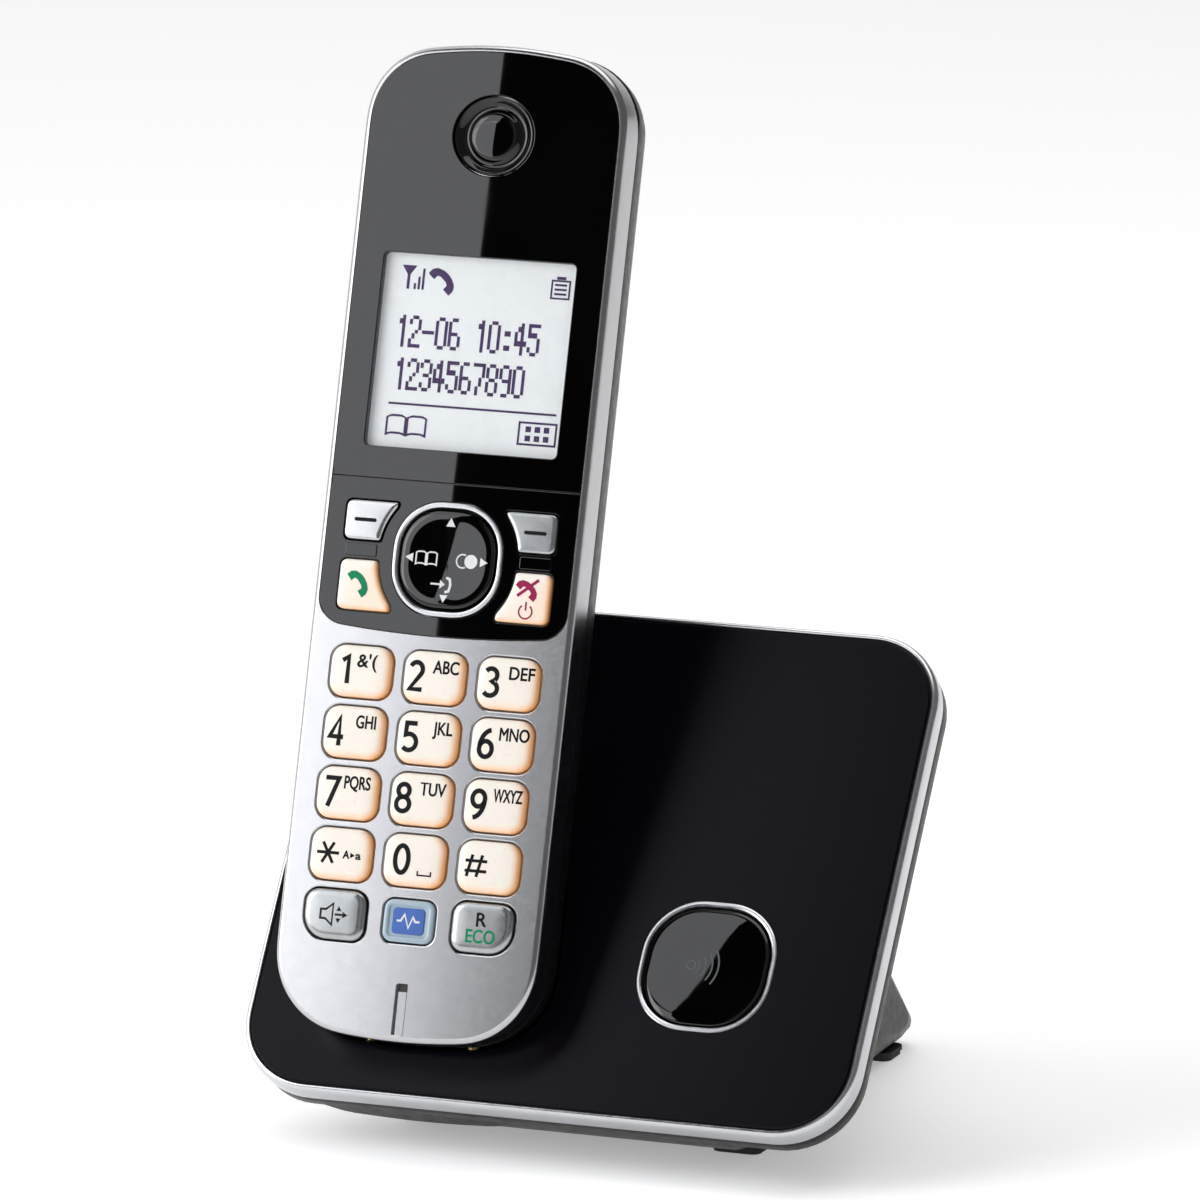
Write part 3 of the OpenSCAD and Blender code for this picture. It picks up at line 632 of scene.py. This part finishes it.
def dome(name, xf, lp, centre, half, prof, body, node):
    """Glossy button that shrinks towards its centre; prof is [(inset, height)] from back to middle."""
    b = Build(xf)
    c = Vector(centre)
    rings = b.stack([([c + (p - c) * (1 - d / half) for p in lp], z) for d, z in prof])
    b.cap(rings[0])
    b.cap(rings[-1])
    return b.obj(name, gloss, body, "gloss_black", node, flat_face=False)


band("nav_ring_band", HAND, resample(squircle(NAV_W, 8, 0, NAV_Y), 144, 3),
     [(0.06, -1.35), (0.06, 0.02), (0.14, 0.2), (0.34, 0.29), (0.62, 0.29), (0.88, 0.18), (1.04, -0.05),
      (1.08, -0.35), (1.08, -1.35)], "handset", "nav_ring")
nav_top = dome("nav_key_top", HAND, resample(squircle(NAV_KEY_W, 6.7, 0, NAV_Y), 120, 2), (0, NAV_Y),
               NAV_KEY_W / 2, [(0, -3.0), (0, -0.15), (0.12, 0.06), (0.4, 0.2), (0.9, 0.27), (1.8, 0.25),
                               (3.2, 0.15), (5.0, 0.05), (6.4, 0.0), (7.4, -0.02)], "nav_cap", "nav_key")


# ---------------------------------------------------------------- printed marks that follow a surface
def drape(obj, xf, target, lift=0.035, sink=0.03, step=0.6):
    """Lays a flat printed piece on the surface below it, cut every step so that it follows the curve."""
    inv = xf.inverted()
    tv = [inv @ v.co for v in target.data.vertices]
    tree = BVHTree.FromPolygons(tv, [list(p.vertices) for p in target.data.polygons])
    bm = bmesh.new()
    bm.from_mesh(obj.data)
    bm.transform(inv)
    for axis in (0, 1):
        span = [v.co[axis] for v in bm.verts]
        no = Vector((axis == 0, axis == 1, 0))
        for k in range(1, int((max(span) - min(span)) / step) + 1):
            geom = bm.verts[:] + bm.edges[:] + bm.faces[:]
            place = no * (min(span) + k * step)
            bmesh.ops.bisect_plane(bm, geom=geom, dist=1e-5, plane_co=place, plane_no=no)
    zm = (min(v.co.z for v in bm.verts) + max(v.co.z for v in bm.verts)) / 2
    for v in bm.verts:
        hit = tree.ray_cast(Vector((v.co.x, v.co.y, 5)), Vector((0, 0, -1)))[0]
        if hit is not None:
            v.co.z = hit.z + (lift if v.co.z > zm else -sink)
    bm.transform(xf)
    bm.to_mesh(obj.data)
    bm.free()


PRINT_Z = 1.2           # height that marks are made at before they are laid on their key, mm
PRINT_THICK = 0.03


def printed(name, xf, shapes, material, body, slot, onto, lift=0.035):
    """Flat mark laid on the piece onto."""
    o = flat(name, xf, shapes, PRINT_Z, PRINT_THICK, material, body, slot)
    drape(o, xf, onto, lift)


def at(x, y):
    """HAND with its origin moved to x, y."""
    return HAND @ Matrix.Translation((x, y, 0))


def turned(pts, cx, cy, s, deg):
    """Points scaled by s, turned by deg and moved to cx, cy."""
    ca, sa = math.cos(math.radians(deg)), math.sin(math.radians(deg))
    return [Vector((cx + s * (x * ca - y * sa), cy + s * (x * sa + y * ca))) for x, y in pts]


def handset_icon(cx, cy, s, deg):
    half = [(0, 0.53), (0.4, 0.48), (0.8, 0.3), (1, 0.0), (1, -0.38), (0.45, -0.38), (0.45, -0.05),
            (0.25, 0.05)]
    left = [(-x, y) for x, y in half[:0:-1]]
    return turned(left[3:] + half + left[:3], cx, cy, s, deg)


def arrow(cx, cy, s, deg):
    return turned([(-1, -0.8), (1, -0.8), (0, 1)], cx, cy, s, deg)


def star6(cx, cy, r, w):
    """Six arms of width w and length r."""
    c = Vector((cx, cy))
    out = []
    for k in range(6):
        a = math.radians(60 * k)
        notch = a + math.pi / 6
        d, s = Vector((math.cos(a), math.sin(a))), Vector((-math.sin(a), math.cos(a)))
        out += [c + d * r - s * w / 2, c + d * r + s * w / 2]
        out.append(c + w * Vector((math.cos(notch), math.sin(notch))))
    return out


def book(cx, cy, w, h, t):
    """Open book drawn with lines of width t."""
    a = w / 4
    outer = [(-a, -h / 2), (-a, h * 0.38), (-a * 0.5, h / 2), (a * 0.5, h / 2), (a, h * 0.38), (a, -h / 2),
             (a * 0.45, -h * 0.4), (-a * 0.45, -h * 0.4)]
    inner = [(-a + t, -h / 2 + t * 1.5), (-a + t, h * 0.34), (-a * 0.45, h / 2 - t),
             (a * 0.45, h / 2 - t), (a - t, h * 0.34), (a - t, -h / 2 + t * 1.5),
             (a * 0.4, -h * 0.4 + t), (-a * 0.4, -h * 0.4 + t)]
    return [[vec([(cx + s * a + x, cy + y) for x, y in lp]) for lp in (outer, inner)] for s in (-1, 1)]


bracket = [(0.1, -2.9), (0.75, -3.1), (0.95, -4.1), (0.75, -5.1), (0.1, -5.3)]
entry = [(-2.5, -4.2), (-0.9, -4.2), (-0.9, -4.75), (0.0, -4.05), (-0.9, -3.35), (-0.9, -3.9),
         (-2.5, -3.9)]
icons = [arrow(0, NAV_Y + 6.1, 0.8, 0), arrow(0, NAV_Y - 6.35, 0.72, 180), arrow(-6.6, NAV_Y, 0.74, 90),
         arrow(6.35, NAV_Y, 0.74, -90)]
icons += book(-3.7, NAV_Y, 3.8, 2.4, 0.24)
icons += [disc(4.1, NAV_Y, 1.15), stroke(arc(2.65, NAV_Y, 1.1, 64, 296, 20), 0.24)]
icons += [stroke([(x, NAV_Y + y) for x, y in bracket], 0.42), vec([(x, NAV_Y + y) for x, y in entry])]
printed("nav_icons", HAND, icons, white_ink, "nav_cap", "gloss_black", nav_top)

# ---------------------------------------------------------------- keys
PAINTED_GLOW = "painted_edge_glow"      # vertex value: painted light, 1 on the right and lower edges of a key where a warm backlight glow is painted into its colour, 0 elsewhere


def painted_glow_material(name, base, painted_warm, rough=0.3):
    """Key plastic with painted light: where the vertex value says so, its colour is painted from base to a warm
    glow, and the whole key gives off a faint glow of its colour.
    """
    m = Mat(name, base, rough)
    a = m.new("ShaderNodeAttribute")
    a.attribute_name = PAINTED_GLOW
    drift = m.noise(350, 2.0)
    mul = m.new("ShaderNodeMath")
    mul.operation = "MULTIPLY"
    m.link(a.outputs["Fac"], mul.inputs[0])
    m.link(m.ramp(drift, 0.9, 1.08), mul.inputs[1])
    c = m.tint(mul.outputs[0], base, painted_warm)
    # painted light: the key gives off its own colour faintly, warmer on the painted edges
    m.link(c.outputs[2], m.b.inputs["Emission Color"])
    socket(m.b, "Emission Strength", 0.06)
    m.link(m.ramp(m.noise(900), rough - 0.03, rough + 0.05), m.b.inputs["Roughness"])
    m.bump(m.noise(2600, 3.0), 0.05, 0.00002)
    return m


# cream keys with a painted warm glow on their right and lower edges
painted_glow_key_mat = painted_glow_material("cream_key_glow", (0.86, 0.795, 0.71), (0.94, 0.46, 0.18))

SKIRT = -3.0            # depth of a key's sides below the face, mm
EDGE = 1.3              # profile steps nearer to the edge than this are insets, the others shrink the loop
PAINTED_GLOW_WIDE = 1.35        # width of the painted glow along the edge


def key(name, node, xf, lp, prof, material, body, slot, painted_glow=True):
    """Crowned key cap: prof is [(inset, height)], the last one near the middle."""
    b = Build(xf)
    layer = b.bm.verts.layers.float.new(PAINTED_GLOW)
    n = len(lp)
    c = sum(lp, Vector((0, 0))) / n
    half = min(max(p[k] for p in lp) - min(p[k] for p in lp) for k in (0, 1)) / 2
    loops = [(lp, SKIRT)]
    for d, z in prof:
        if d < EDGE:
            loops.append((inset(lp, d), z))
        else:
            k = (half - d) / (half - EDGE)
            loops.append(([c + (p - c) * k for p in inset(lp, EDGE)], z))
    rings = b.stack(loops)
    b.fill([rings[0]])
    b.fill([rings[-1]])
    # painted light: the glow is painted on sides whose outline runs upwards (right side) or rightwards (lower
    # side), fading inwards across the edge's width
    for r, d in zip(rings, [0] + [p[0] for p in prof]):
        for i, v in enumerate(r):
            t = (lp[(i + 1) % n] - lp[i - 1]).normalized()
            side = max(0.0, t.y * 0.95) + max(0.0, t.x) * 0.7
            fall = max(0.0, 1 - max(0.0, d - 0.1) / PAINTED_GLOW_WIDE)
            v[layer] = min(1.0, side) * fall ** 1.5 if painted_glow else 0.0
    return b.obj(name, material, body, slot, node, 50, flat_face=False)


KEY_PROF = [(0, 0.10), (0.04, 0.30), (0.14, 0.48), (0.32, 0.63), (0.6, 0.74), (0.95, 0.80), (1.3, 0.83),
            (2.2, 0.87), (3.4, 0.9)]
DIAL = [(ch, "key_" + ch) for ch in "123456789"] + [("*", "key_star"), ("0", "key_0"), ("#", "key_hash")]
# left edge of the digit, letters, their left edge and width
LEGEND = {"1": (-3.9, "&'(", -0.5, 3.4), "2": (-4.5, "ABC", -0.1, 4.4), "3": (-4.3, "DEF", 0.3, 4.3),
          "4": (-4.5, "GHI", 0.4, 3.4), "5": (-4.4, "JKL", 1.0, 3.3), "6": (-4.1, "MNO", -0.3, 5.1),
          "7": (-4.2, "PQRS", -0.5, 4.5), "8": (-4.5, "TUV", -0.1, 4.4), "9": (-4.3, "WXYZ", -0.2, 4.9)}
DIGIT_Y = -2.5          # foot, height, width and line width of the digits
DIGIT_H = 5.2
DIGIT_W = 3.1
DIGIT_T = 0.78


def oval(cx, cy, rx, ry):
    return curve_pts(cx, cy, rx, ry, 0, 360, 28)[:-1]


# centre lines of the digits in a box one wide and one high; an oval is closed, the others are open
DIGIT_LINES = {
    "0": [oval(0.5, 0.5, 0.5, 0.5)],
    "1": [[(0.18, 0.84), (0.62, 1.0), (0.62, 0.0)]],
    "2": [curve_pts(0.47, 0.73, 0.47, 0.27, 155, -38) + [(0.05, 0.0), (1.0, 0.0)]],
    "3": [curve_pts(0.44, 0.76, 0.46, 0.24, 145, -78, 14)
          + curve_pts(0.44, 0.26, 0.54, 0.26, 70, -145, 14)],
    "4": [[(0.74, -0.06), (0.74, 1.0), (0.02, 0.27), (1.06, 0.27)]],
    "5": [[(0.94, 1.0), (0.16, 1.0), (0.13, 0.56)] + curve_pts(0.42, 0.3, 0.55, 0.3, 105, -140, 18)],
    "6": [oval(0.5, 0.29, 0.48, 0.29), curve_pts(0.92, 0.28, 0.9, 0.72, 96, 172, 10)],
    "7": [[(0.0, 1.0), (1.0, 1.0), (0.28, -0.06)]],
    "8": [oval(0.5, 0.765, 0.42, 0.235), oval(0.5, 0.265, 0.5, 0.265)],
    "9": [oval(0.5, 0.71, 0.48, 0.29), curve_pts(0.08, 0.72, 0.9, 0.72, -84, -8, 10)],
}


def digit_shapes(ch, x):
    """Outlines of a digit whose left edge is at x."""
    out = []
    for line in DIGIT_LINES[ch]:
        pts = [(x + DIGIT_T / 2 + u * (DIGIT_W - DIGIT_T), DIGIT_Y + DIGIT_T / 2 + v * (DIGIT_H - DIGIT_T))
               for u, v in line]
        out.append(stroke(pts, DIGIT_T, closed=len(line) == 28))
    return out


def letter_mesh(text, size=1.0):
    """Flat mesh of a line of characters in Blender's own font."""
    cu = bpy.data.curves.new("tmp", "FONT")
    cu.body = text
    cu.size = size
    cu.resolution_u = 5
    ob = bpy.data.objects.new("tmp", cu)
    bpy.context.scene.collection.objects.link(ob)
    bpy.context.view_layer.update()
    me = bpy.data.meshes.new_from_object(ob.evaluated_get(bpy.context.evaluated_depsgraph_get()))
    bpy.data.objects.remove(ob)
    bpy.data.curves.remove(cu)
    return me


def span_of(me, axis):
    """Lowest and highest coordinate of the mesh along one axis."""
    values = [v.co[axis] for v in me.vertices]
    return min(values), max(values)


capital = letter_mesh("H")
cap_low, cap_high = span_of(capital, 1)
bpy.data.meshes.remove(capital)


def text_mesh(text, x, y, h, width):
    """Mesh of a line of characters: left edge at x, baseline at y, capitals h tall, width across."""
    me = letter_mesh(text, h / (cap_high - cap_low))
    x0, x1 = span_of(me, 0)
    k = width / (x1 - x0)
    me.transform(Matrix.Translation((x - x0 * k, y, 0)) @ Matrix.Diagonal((k, 1, 1, 1)))
    return me


def embolden(bm, d):
    """Moves the outline of flat lettering outwards by d."""
    moves = []
    for v in bm.verts:
        out = Vector()
        for e in v.link_edges:
            if e.is_boundary:
                a, b = (w.co for w in e.verts)
                n = (b - a).cross(Vector((0, 0, 1))).normalized()
                out += n if n.dot(a + b - 2 * e.link_faces[0].calc_center_median()) > 0 else -n
        if out.length > 1e-6:
            moves.append((v, out.normalized() * d / max(0.55, out.length / 2)))
    for v, step in moves:
        v.co += step


def text_piece(name, xf, lines, material, body, slot, onto):
    """Lettering laid on the piece onto; each line holds what text_mesh takes."""
    b = Build(xf)
    for ln in lines:
        me = text_mesh(*ln)
        b.bm.from_mesh(me)
        bpy.data.meshes.remove(me)
    bmesh.ops.remove_doubles(b.bm, verts=b.bm.verts, dist=1e-4)
    embolden(b.bm, 0.055)
    geo = bmesh.ops.extrude_face_region(b.bm, geom=b.bm.faces[:])
    raised = [g for g in geo["geom"] if isinstance(g, bmesh.types.BMVert)]
    bmesh.ops.translate(b.bm, verts=raised, vec=(0, 0, PRINT_THICK))
    bmesh.ops.translate(b.bm, verts=b.bm.verts, vec=(0, 0, PRINT_Z))
    drape(b.obj(name, material, body, slot), xf, onto)


for k, (ch, node) in enumerate(DIAL):
    xf = at(COLS[k % 3], ROWS[k // 3])
    lp = resample(rrect(*DIAL_KEY), 88, 1)
    top = key(node + "_top", node, xf, lp, KEY_PROF, painted_glow_key_mat, node + "_cap", "cream_key")
    on = (ink, node + "_cap", "cream_key", top)
    if ch in LEGEND:
        x, abc, x_abc, w_abc = LEGEND[ch]
        printed(node + "_digit", xf, digit_shapes(ch, x), *on)
        text_piece(node + "_letters", xf, [(abc, x_abc, 0.75, 2.05, w_abc)], *on)
    elif ch == "0":
        printed(node + "_digit", xf, digit_shapes(ch, -3.6), *on)
        tray = [(0.9, -1.6), (0.9, -2.3), (3.2, -2.3), (3.2, -1.6)]
        printed(node + "_space", xf, [stroke(tray, 0.26)], *on)
    elif ch == "*":
        marks = [star6(-2.1, 0.1, 1.95, 0.5), arrow(2.2, -0.1, 0.45, -90)]
        printed(node + "_legend", xf, marks, *on)
        both = [("A", 0.6, -0.65, 1.25, 1.05), ("a", 2.8, -0.65, 1.25, 0.85)]
        text_piece(node + "_case", xf, both, *on)
    else:
        bars = [stroke([(x, -1.7), (x + 0.8, 1.9)], 0.52) for x in (-3.52, -1.81)]
        bars += [stroke([(-3.9, y), (-0.1, y)], 0.5) for y in (-0.75, 0.9)]
        printed(node + "_legend", xf, bars, *on)

# soft keys, call keys and the bars between them
SIDE_PROF = [(0, 0.05), (0.03, 0.2), (0.1, 0.32), (0.24, 0.42), (0.42, 0.475), (0.66, 0.495), (0.9, 0.5)]
for s, tag, call in ((-1, "left", "talk_key"), (1, "right", "off_key")):
    node = "soft_key_" + tag
    # painted light: the left soft key takes the brighter silver paint and the right one the grey key finish, so
    # the key on the lit left side is painted lighter than its twin
    top = key(node + "_top", node, HAND, side_loop(s, "soft", 0), SIDE_PROF, grey_key if s > 0 else silver,
              node + "_cap", "grey_key", painted_glow=False)
    dash = rrect(3.9, 0.62, 0.3, s * 14.9, 84.6, 5)
    printed(node + "_dash", HAND, [dash], ink, node + "_cap", "grey_key", top)
    top = key(call + "_top", call, HAND, side_loop(s, "call", 0), SIDE_PROF, painted_glow_key_mat,
              call + "_cap", "cream_key")
    on = (call + "_cap", "cream_key", top)
    if s < 0:
        printed("talk_icon", HAND, [handset_icon(-14.9, 74.2, 2.35, -52)], green_ink, *on)
    else:
        printed("off_icon", HAND, [handset_icon(14.6, 75.3, 2.1, -38)], red_ink, *on)
        printed("off_cross", HAND, [stroke([(12.9, 74.2), (16.4, 77.0)], 0.5)], red_ink, *on, lift=0.05)
        power = [stroke(arc(14.6, 71.7, 1.15, 125, 413, 24), 0.26),
                 stroke([(14.6, 71.9), (14.6, 73.3)], 0.28)]
        printed("power_icon", HAND, power, red_ink, *on)
    link = rrect(5.6, 2.1, 0.35, s * 15.3, 79.65)
    plate("link_bar_" + tag, HAND, link, [], -0.2, 0.1, 0.16, gloss, "handset", "gloss_black")

# row under the dial
LOW_PROF = [(0, 0.05), (0.04, 0.25), (0.14, 0.42), (0.34, 0.58), (0.65, 0.7), (1.0, 0.76), (1.3, 0.78),
            (2.4, 0.79), (3.4, 0.8)]
CLEAR_PROF = [(0, 0.0), (0.03, 0.15), (0.1, 0.26), (0.24, 0.35), (0.5, 0.38), (0.8, 0.38), (0.9, 0.3),
              (1.0, 0.12), (1.3, 0.1), (2.6, 0.1)]


def low_key(i, node, prof, material, slot):
    """Key i of the row under the dial: its matrix, and what a mark on it needs."""
    xf = at(COLS[i], LOW_Y)
    lp = resample([p - Vector((COLS[i], LOW_Y)) for p in low_loop(i, 0)], 96, 1)
    top = key(node + "_top", node, xf, lp, prof, material, node + "_cap", slot, painted_glow=False)
    return xf, (node + "_cap", slot, top)


xf, on = low_key(0, "speaker_key", LOW_PROF, grey_key, "grey_key")
horn = [(-2.3, -0.75), (-1.4, -0.75), (-0.2, -1.75), (-0.2, 1.75), (-1.4, 0.75), (-2.3, 0.75)]
marks = [stroke(horn, 0.34, True), stroke([(0.2, 0), (1.5, 0)], 0.34), arrow(1.95, 0, 0.5, -90),
         arrow(0.85, 0.95, 0.42, 0), arrow(0.85, -0.95, 0.42, 180)]
printed("speaker_icon", xf, marks, ink, *on)

xf, on = low_key(1, "clear_key", CLEAR_PROF, pale_key, "clear_key")
plate("clear_key_label", xf, rrect(5.6, 4.3, 0.7), [], 0.08, 0.3, 0.12, blue_ink, *on[:2])
wave = stroke([(-2.0, 0), (-1.3, 0), (-0.7, 1.1), (0.1, -1.1), (0.8, 0.75), (1.2, 0), (2.0, 0)], 0.36)
flat("clear_key_sign", xf, [wave], 0.29, 0.04, white_ink, *on[:2])

xf, on = low_key(2, "recall_key", LOW_PROF, grey_key, "grey_key")
text_piece("recall_sign", xf, [("R", -0.9, 0.25, 2.2, 1.7)], ink, *on)
text_piece("eco_sign", xf, [("ECO", -2.5, -2.45, 2.1, 5.0)], green_ink, *on)

# ---------------------------------------------------------------- display contents
# seven rows of four dots each, one hexadecimal digit per row
DOTS = {"0": "6999996", "1": "2622222", "2": "691248F", "3": "6916196", "4": "26AAF22", "5": "F8E1196",
        "6": "688E996", "7": "F112244", "8": "6996996", "9": "6997116", "-": "000F000", ":": "0060060"}
DOT_ROWS = (0.68, 1, 1, 0.68, 1, 1, 0.68)       # their heights: the rows of the bars are thin
LCD_H = 5.3                                     # height, pitch and width of the characters, mm
LCD_PITCH = 2.32
LCD_W = 2.12


def digits(text, x, y):
    """Liquid crystal characters as boxes; dots side by side join into one box."""
    unit = LCD_H / sum(DOT_ROWS)
    px = LCD_W / 4
    out = []
    for i, ch in enumerate(text):
        top = y + LCD_H
        for high, code in zip(DOT_ROWS, DOTS.get(ch, "")):
            start = None
            for q in range(5):
                on = q < 4 and int(code, 16) >> (3 - q) & 1
                if on and start is None:
                    start = q
                if not on and start is not None:
                    xa = x + i * LCD_PITCH + start * px
                    out.append(box_shape(xa, top - high * unit, xa + (q - start) * px, top))
                    start = None
            top -= high * unit
    return out


def frame_shape(x0, y0, x1, y1, t):
    return [box_shape(x0, y0, x1, y1), box_shape(x0 + t, y0 + t, x1 - t, y1 - t)]


aerial = [(-14.0, 127.0), (-11.4, 127.0), (-12.45, 125.5), (-12.45, 123.1), (-12.95, 123.1),
          (-12.95, 125.5)]
seg = digits("1234567890", -13.6, 106.45)
seg += digits("12-06 10:45", -14.0, 113.5)
seg += [box_shape(-13.9, 104.0, 15.6, 104.36), vec(aerial)]
seg += [box_shape(x, 123.1, x + 0.4, y) for x, y in ((-11.7, 124.1), (-11.0, 125.2), (-10.3, 126.6))]
seg += [handset_icon(-6.7, 124.9, 2.6, -42)]
seg += [frame_shape(12.3, 123.1, 15.7, 126.3, 0.3), box_shape(13.2, 126.35, 14.8, 126.85)]
seg += [box_shape(12.95, y, 15.05, y + 0.35) for y in (123.8, 124.55, 125.3)]
seg += book(-10.4, 100.6, 7.2, 3.6, 0.36)
seg += [frame_shape(9.2, 98.9, 16.0, 102.8, 0.34)]
seg += [box_shape(x, y, x + 0.95, y + 0.95) for x in (10.5, 12.1, 13.7) for y in (99.6, 101.1)]
flat("lcd_marks", HAND, seg, -1.49, 0.03, pixel, "handset", "lcd")

# ---------------------------------------------------------------- base: trim, ring and button
band("base_trim_band", FACE, resample(rrect(106.8, 89.0, 12.8, 0, 43.5, 24), 320, 1),
     [(1.05, -2.2), (1.05, -0.32), (0.98, -0.2), (0.8, -0.1), (0.55, -0.14), (0.3, -0.34), (0.1, -0.7),
      (0.0, -1.2), (0.0, -3.7), (0.08, -4.1), (0.2, -4.2), (2.4, -4.2), (2.4, -3.7), (2.4, -2.2)],
     "base", "base_trim")
band("locator_ring_band", FACE, resample(squircle(LOC_W, 9.6, *LOC), 160, 3),
     [(0.06, -2.2), (0.06, 0.0), (0.14, 0.15), (0.32, 0.25), (0.62, 0.25), (0.86, 0.14), (0.98, -0.06),
      (1.0, -0.3), (1.0, -2.2)], "base", "locator_ring")
button = dome("locator_button_top", FACE, resample(squircle(LOC_KEY_W, 8.5, *LOC), 140, 3), LOC,
              LOC_KEY_W / 2, [(0, -2.9), (0, -0.4), (0.08, -0.15), (0.3, 0.02), (0.8, 0.1), (2.0, 0.14),
                              (4.5, 0.16), (8.0, 0.16), (9.4, 0.16)], "locator", "locator_button")
waves = [stroke(disc(LOC[0] - 2.6, LOC[1], 0.75), 0.3, True)]
waves += [stroke(arc(LOC[0] - 3.2, LOC[1], r, -34, 34, 17), 0.3) for r in (2.0, 3.1, 4.2, 5.3)]
printed("locator_sign", FACE, waves, grey_ink, "locator", "gloss_black", button)

# ---------------------------------------------------------------- camera, floor and light
AZ = math.radians(21)       # where the camera stands: azimuth, elevation, metres from TARGET
EL = math.radians(12.5)
DIST = 1.796
TARGET = Vector((0.01173, -0.04792, 0.09565))
fwd = Vector((-math.sin(AZ) * math.cos(EL), math.cos(AZ) * math.cos(EL), -math.sin(EL)))
cam_data = bpy.data.cameras.new("camera")
cam_data.sensor_width = 36
cam_data.lens = 336
cam_data.clip_start = 0.05
cam_data.clip_end = 50
cam = bpy.data.objects.new("camera", cam_data)
cam.location = TARGET - fwd * DIST
cam.rotation_euler = fwd.to_track_quat("-Z", "Y").to_euler()
bpy.context.scene.collection.objects.link(cam)
bpy.context.scene.camera = cam

bm = bmesh.new()
bmesh.ops.create_grid(bm, x_segments=8, y_segments=8, size=14)
me = bpy.data.meshes.new("floor")
bm.to_mesh(me)
bm.free()
floor = bpy.data.objects.new("floor", me)
bpy.context.scene.collection.objects.link(floor)
floor_mat = Mat("floor_paper", (0.93, 0.93, 0.93), 0.9, Emission_Strength=0.34).grain(40, 0.01, 0.02)
socket(floor_mat.b, "Emission Color", (1, 1, 1, 1))
me.materials.append(floor_mat.m)


def area_light(name, place, size, radiance, color=(1, 1, 1)):
    """Rectangular light that shines down the -Z of the matrix place."""
    d = bpy.data.lights.new(name, "AREA")
    d.shape = "RECTANGLE"
    d.size, d.size_y = size
    d.energy = radiance * math.pi * size[0] * size[1]
    d.color = color
    o = bpy.data.objects.new(name, d)
    o.matrix_world = place
    bpy.context.scene.collection.objects.link(o)


def softbox(name, stand, aim, size, radiance):
    turn = (Vector(aim) - Vector(stand)).to_track_quat("-Z", "Y").to_matrix().to_4x4()
    area_light(name, Matrix.Translation(stand) @ turn, size, radiance)


def mirror_card(name, origin, vert, normal, xf, x_edge, y_range, width, radiance, reach=0.42):
    """Soft light whose picture in the flat face covers y_range and ends at x_edge (at top, at bottom)."""
    mirrored = cam.location - 2 * (cam.location - origin).dot(normal) * normal

    def past(x, y):
        # the point reach metres behind the face on the mirrored camera's line through x, y
        p = xf @ Vector((x, y, 0))
        return mirrored + (p - mirrored) * (1 + reach / (p - mirrored).length)

    low, top = past(x_edge[1], y_range[0]), past(x_edge[0], y_range[1])
    mid = (top + low) / 2
    up = (top - low).normalized()
    z = (mid - origin - vert * sum(y_range) / 2 * MM).normalized()
    side = z.cross(up).normalized()
    if side.x > 0:
        side = -side
    x_axis = up.cross(z).normalized()
    place = Matrix((x_axis, z.cross(x_axis), z)).transposed().to_4x4()
    place.translation = mid + side * width / 2
    area_light(name, place, (width, (top - low).length), radiance, (0.955, 0.97, 1.0))


# the card whose edge shows down the middle of the handset's glossy face, and the one above the base
mirror_card("handset_card", OH, VH, NH, HAND, (0.6, -1.6), (-35, 200), 0.30, 2.5)
mirror_card("base_card", OP, VP, NP, FACE, (52, 8), (-20, 105), 0.20, 2.1)
softbox("left_box", (-2.7, -1.65, 1.3), (0, 0, 0.1), (2.1, 2.7), 2.4)
softbox("top_box", (0.1, 0.25, 1.3), (0, 0, 0.05), (1.2, 0.9), 1.6)

world = bpy.data.worlds.new("studio")
bpy.context.scene.world = world
world.use_nodes = True
wn = world.node_tree
bg = wn.nodes["Background"]
socket(bg, "Color", (1, 1, 1, 1))
view = wn.nodes.new("ShaderNodeTexCoord").outputs["Generated"]


def map_range(value, a, b, at_a, at_b):
    """Brightness that runs from at_a where the value is a to at_b where it is b."""
    rng = wn.nodes.new("ShaderNodeMapRange")
    for name, v in (("From Min", a), ("From Max", b), ("To Min", at_a), ("To Max", at_b)):
        socket(rng, name, v)
    wn.links.new(value, rng.inputs["Value"])
    return rng.outputs["Result"]


def dark_card(normal, inner, outer, low, high):
    """Brightness that falls from high to low where a face with this normal mirrors the camera."""
    dot = wn.nodes.new("ShaderNodeVectorMath")
    dot.operation = "DOT_PRODUCT"
    dot.inputs[1].default_value = fwd - 2 * fwd.dot(normal) * normal
    wn.links.new(view, dot.inputs[0])
    return map_range(dot.outputs["Value"], outer, inner, high, low)


def multiply(a, b):
    node = wn.nodes.new("ShaderNodeMath")
    node.operation = "MULTIPLY"
    wn.links.new(a, node.inputs[0])
    wn.links.new(b, node.inputs[1])
    return node.outputs[0]


axes = wn.nodes.new("ShaderNodeSeparateXYZ")
wn.links.new(view, axes.inputs[0])
cards = multiply(dark_card(NH, 0.965, 0.84, 0.01, 1.0), dark_card(NP, 0.95, 0.80, 0.0, 0.95))
right = map_range(axes.outputs[0], -0.3, 0.4, 1.0, 0.16)        # the studio is darker on the right
wn.links.new(multiply(cards, right), bg.inputs["Strength"])

bpy.context.scene.view_settings.view_transform = "Standard"
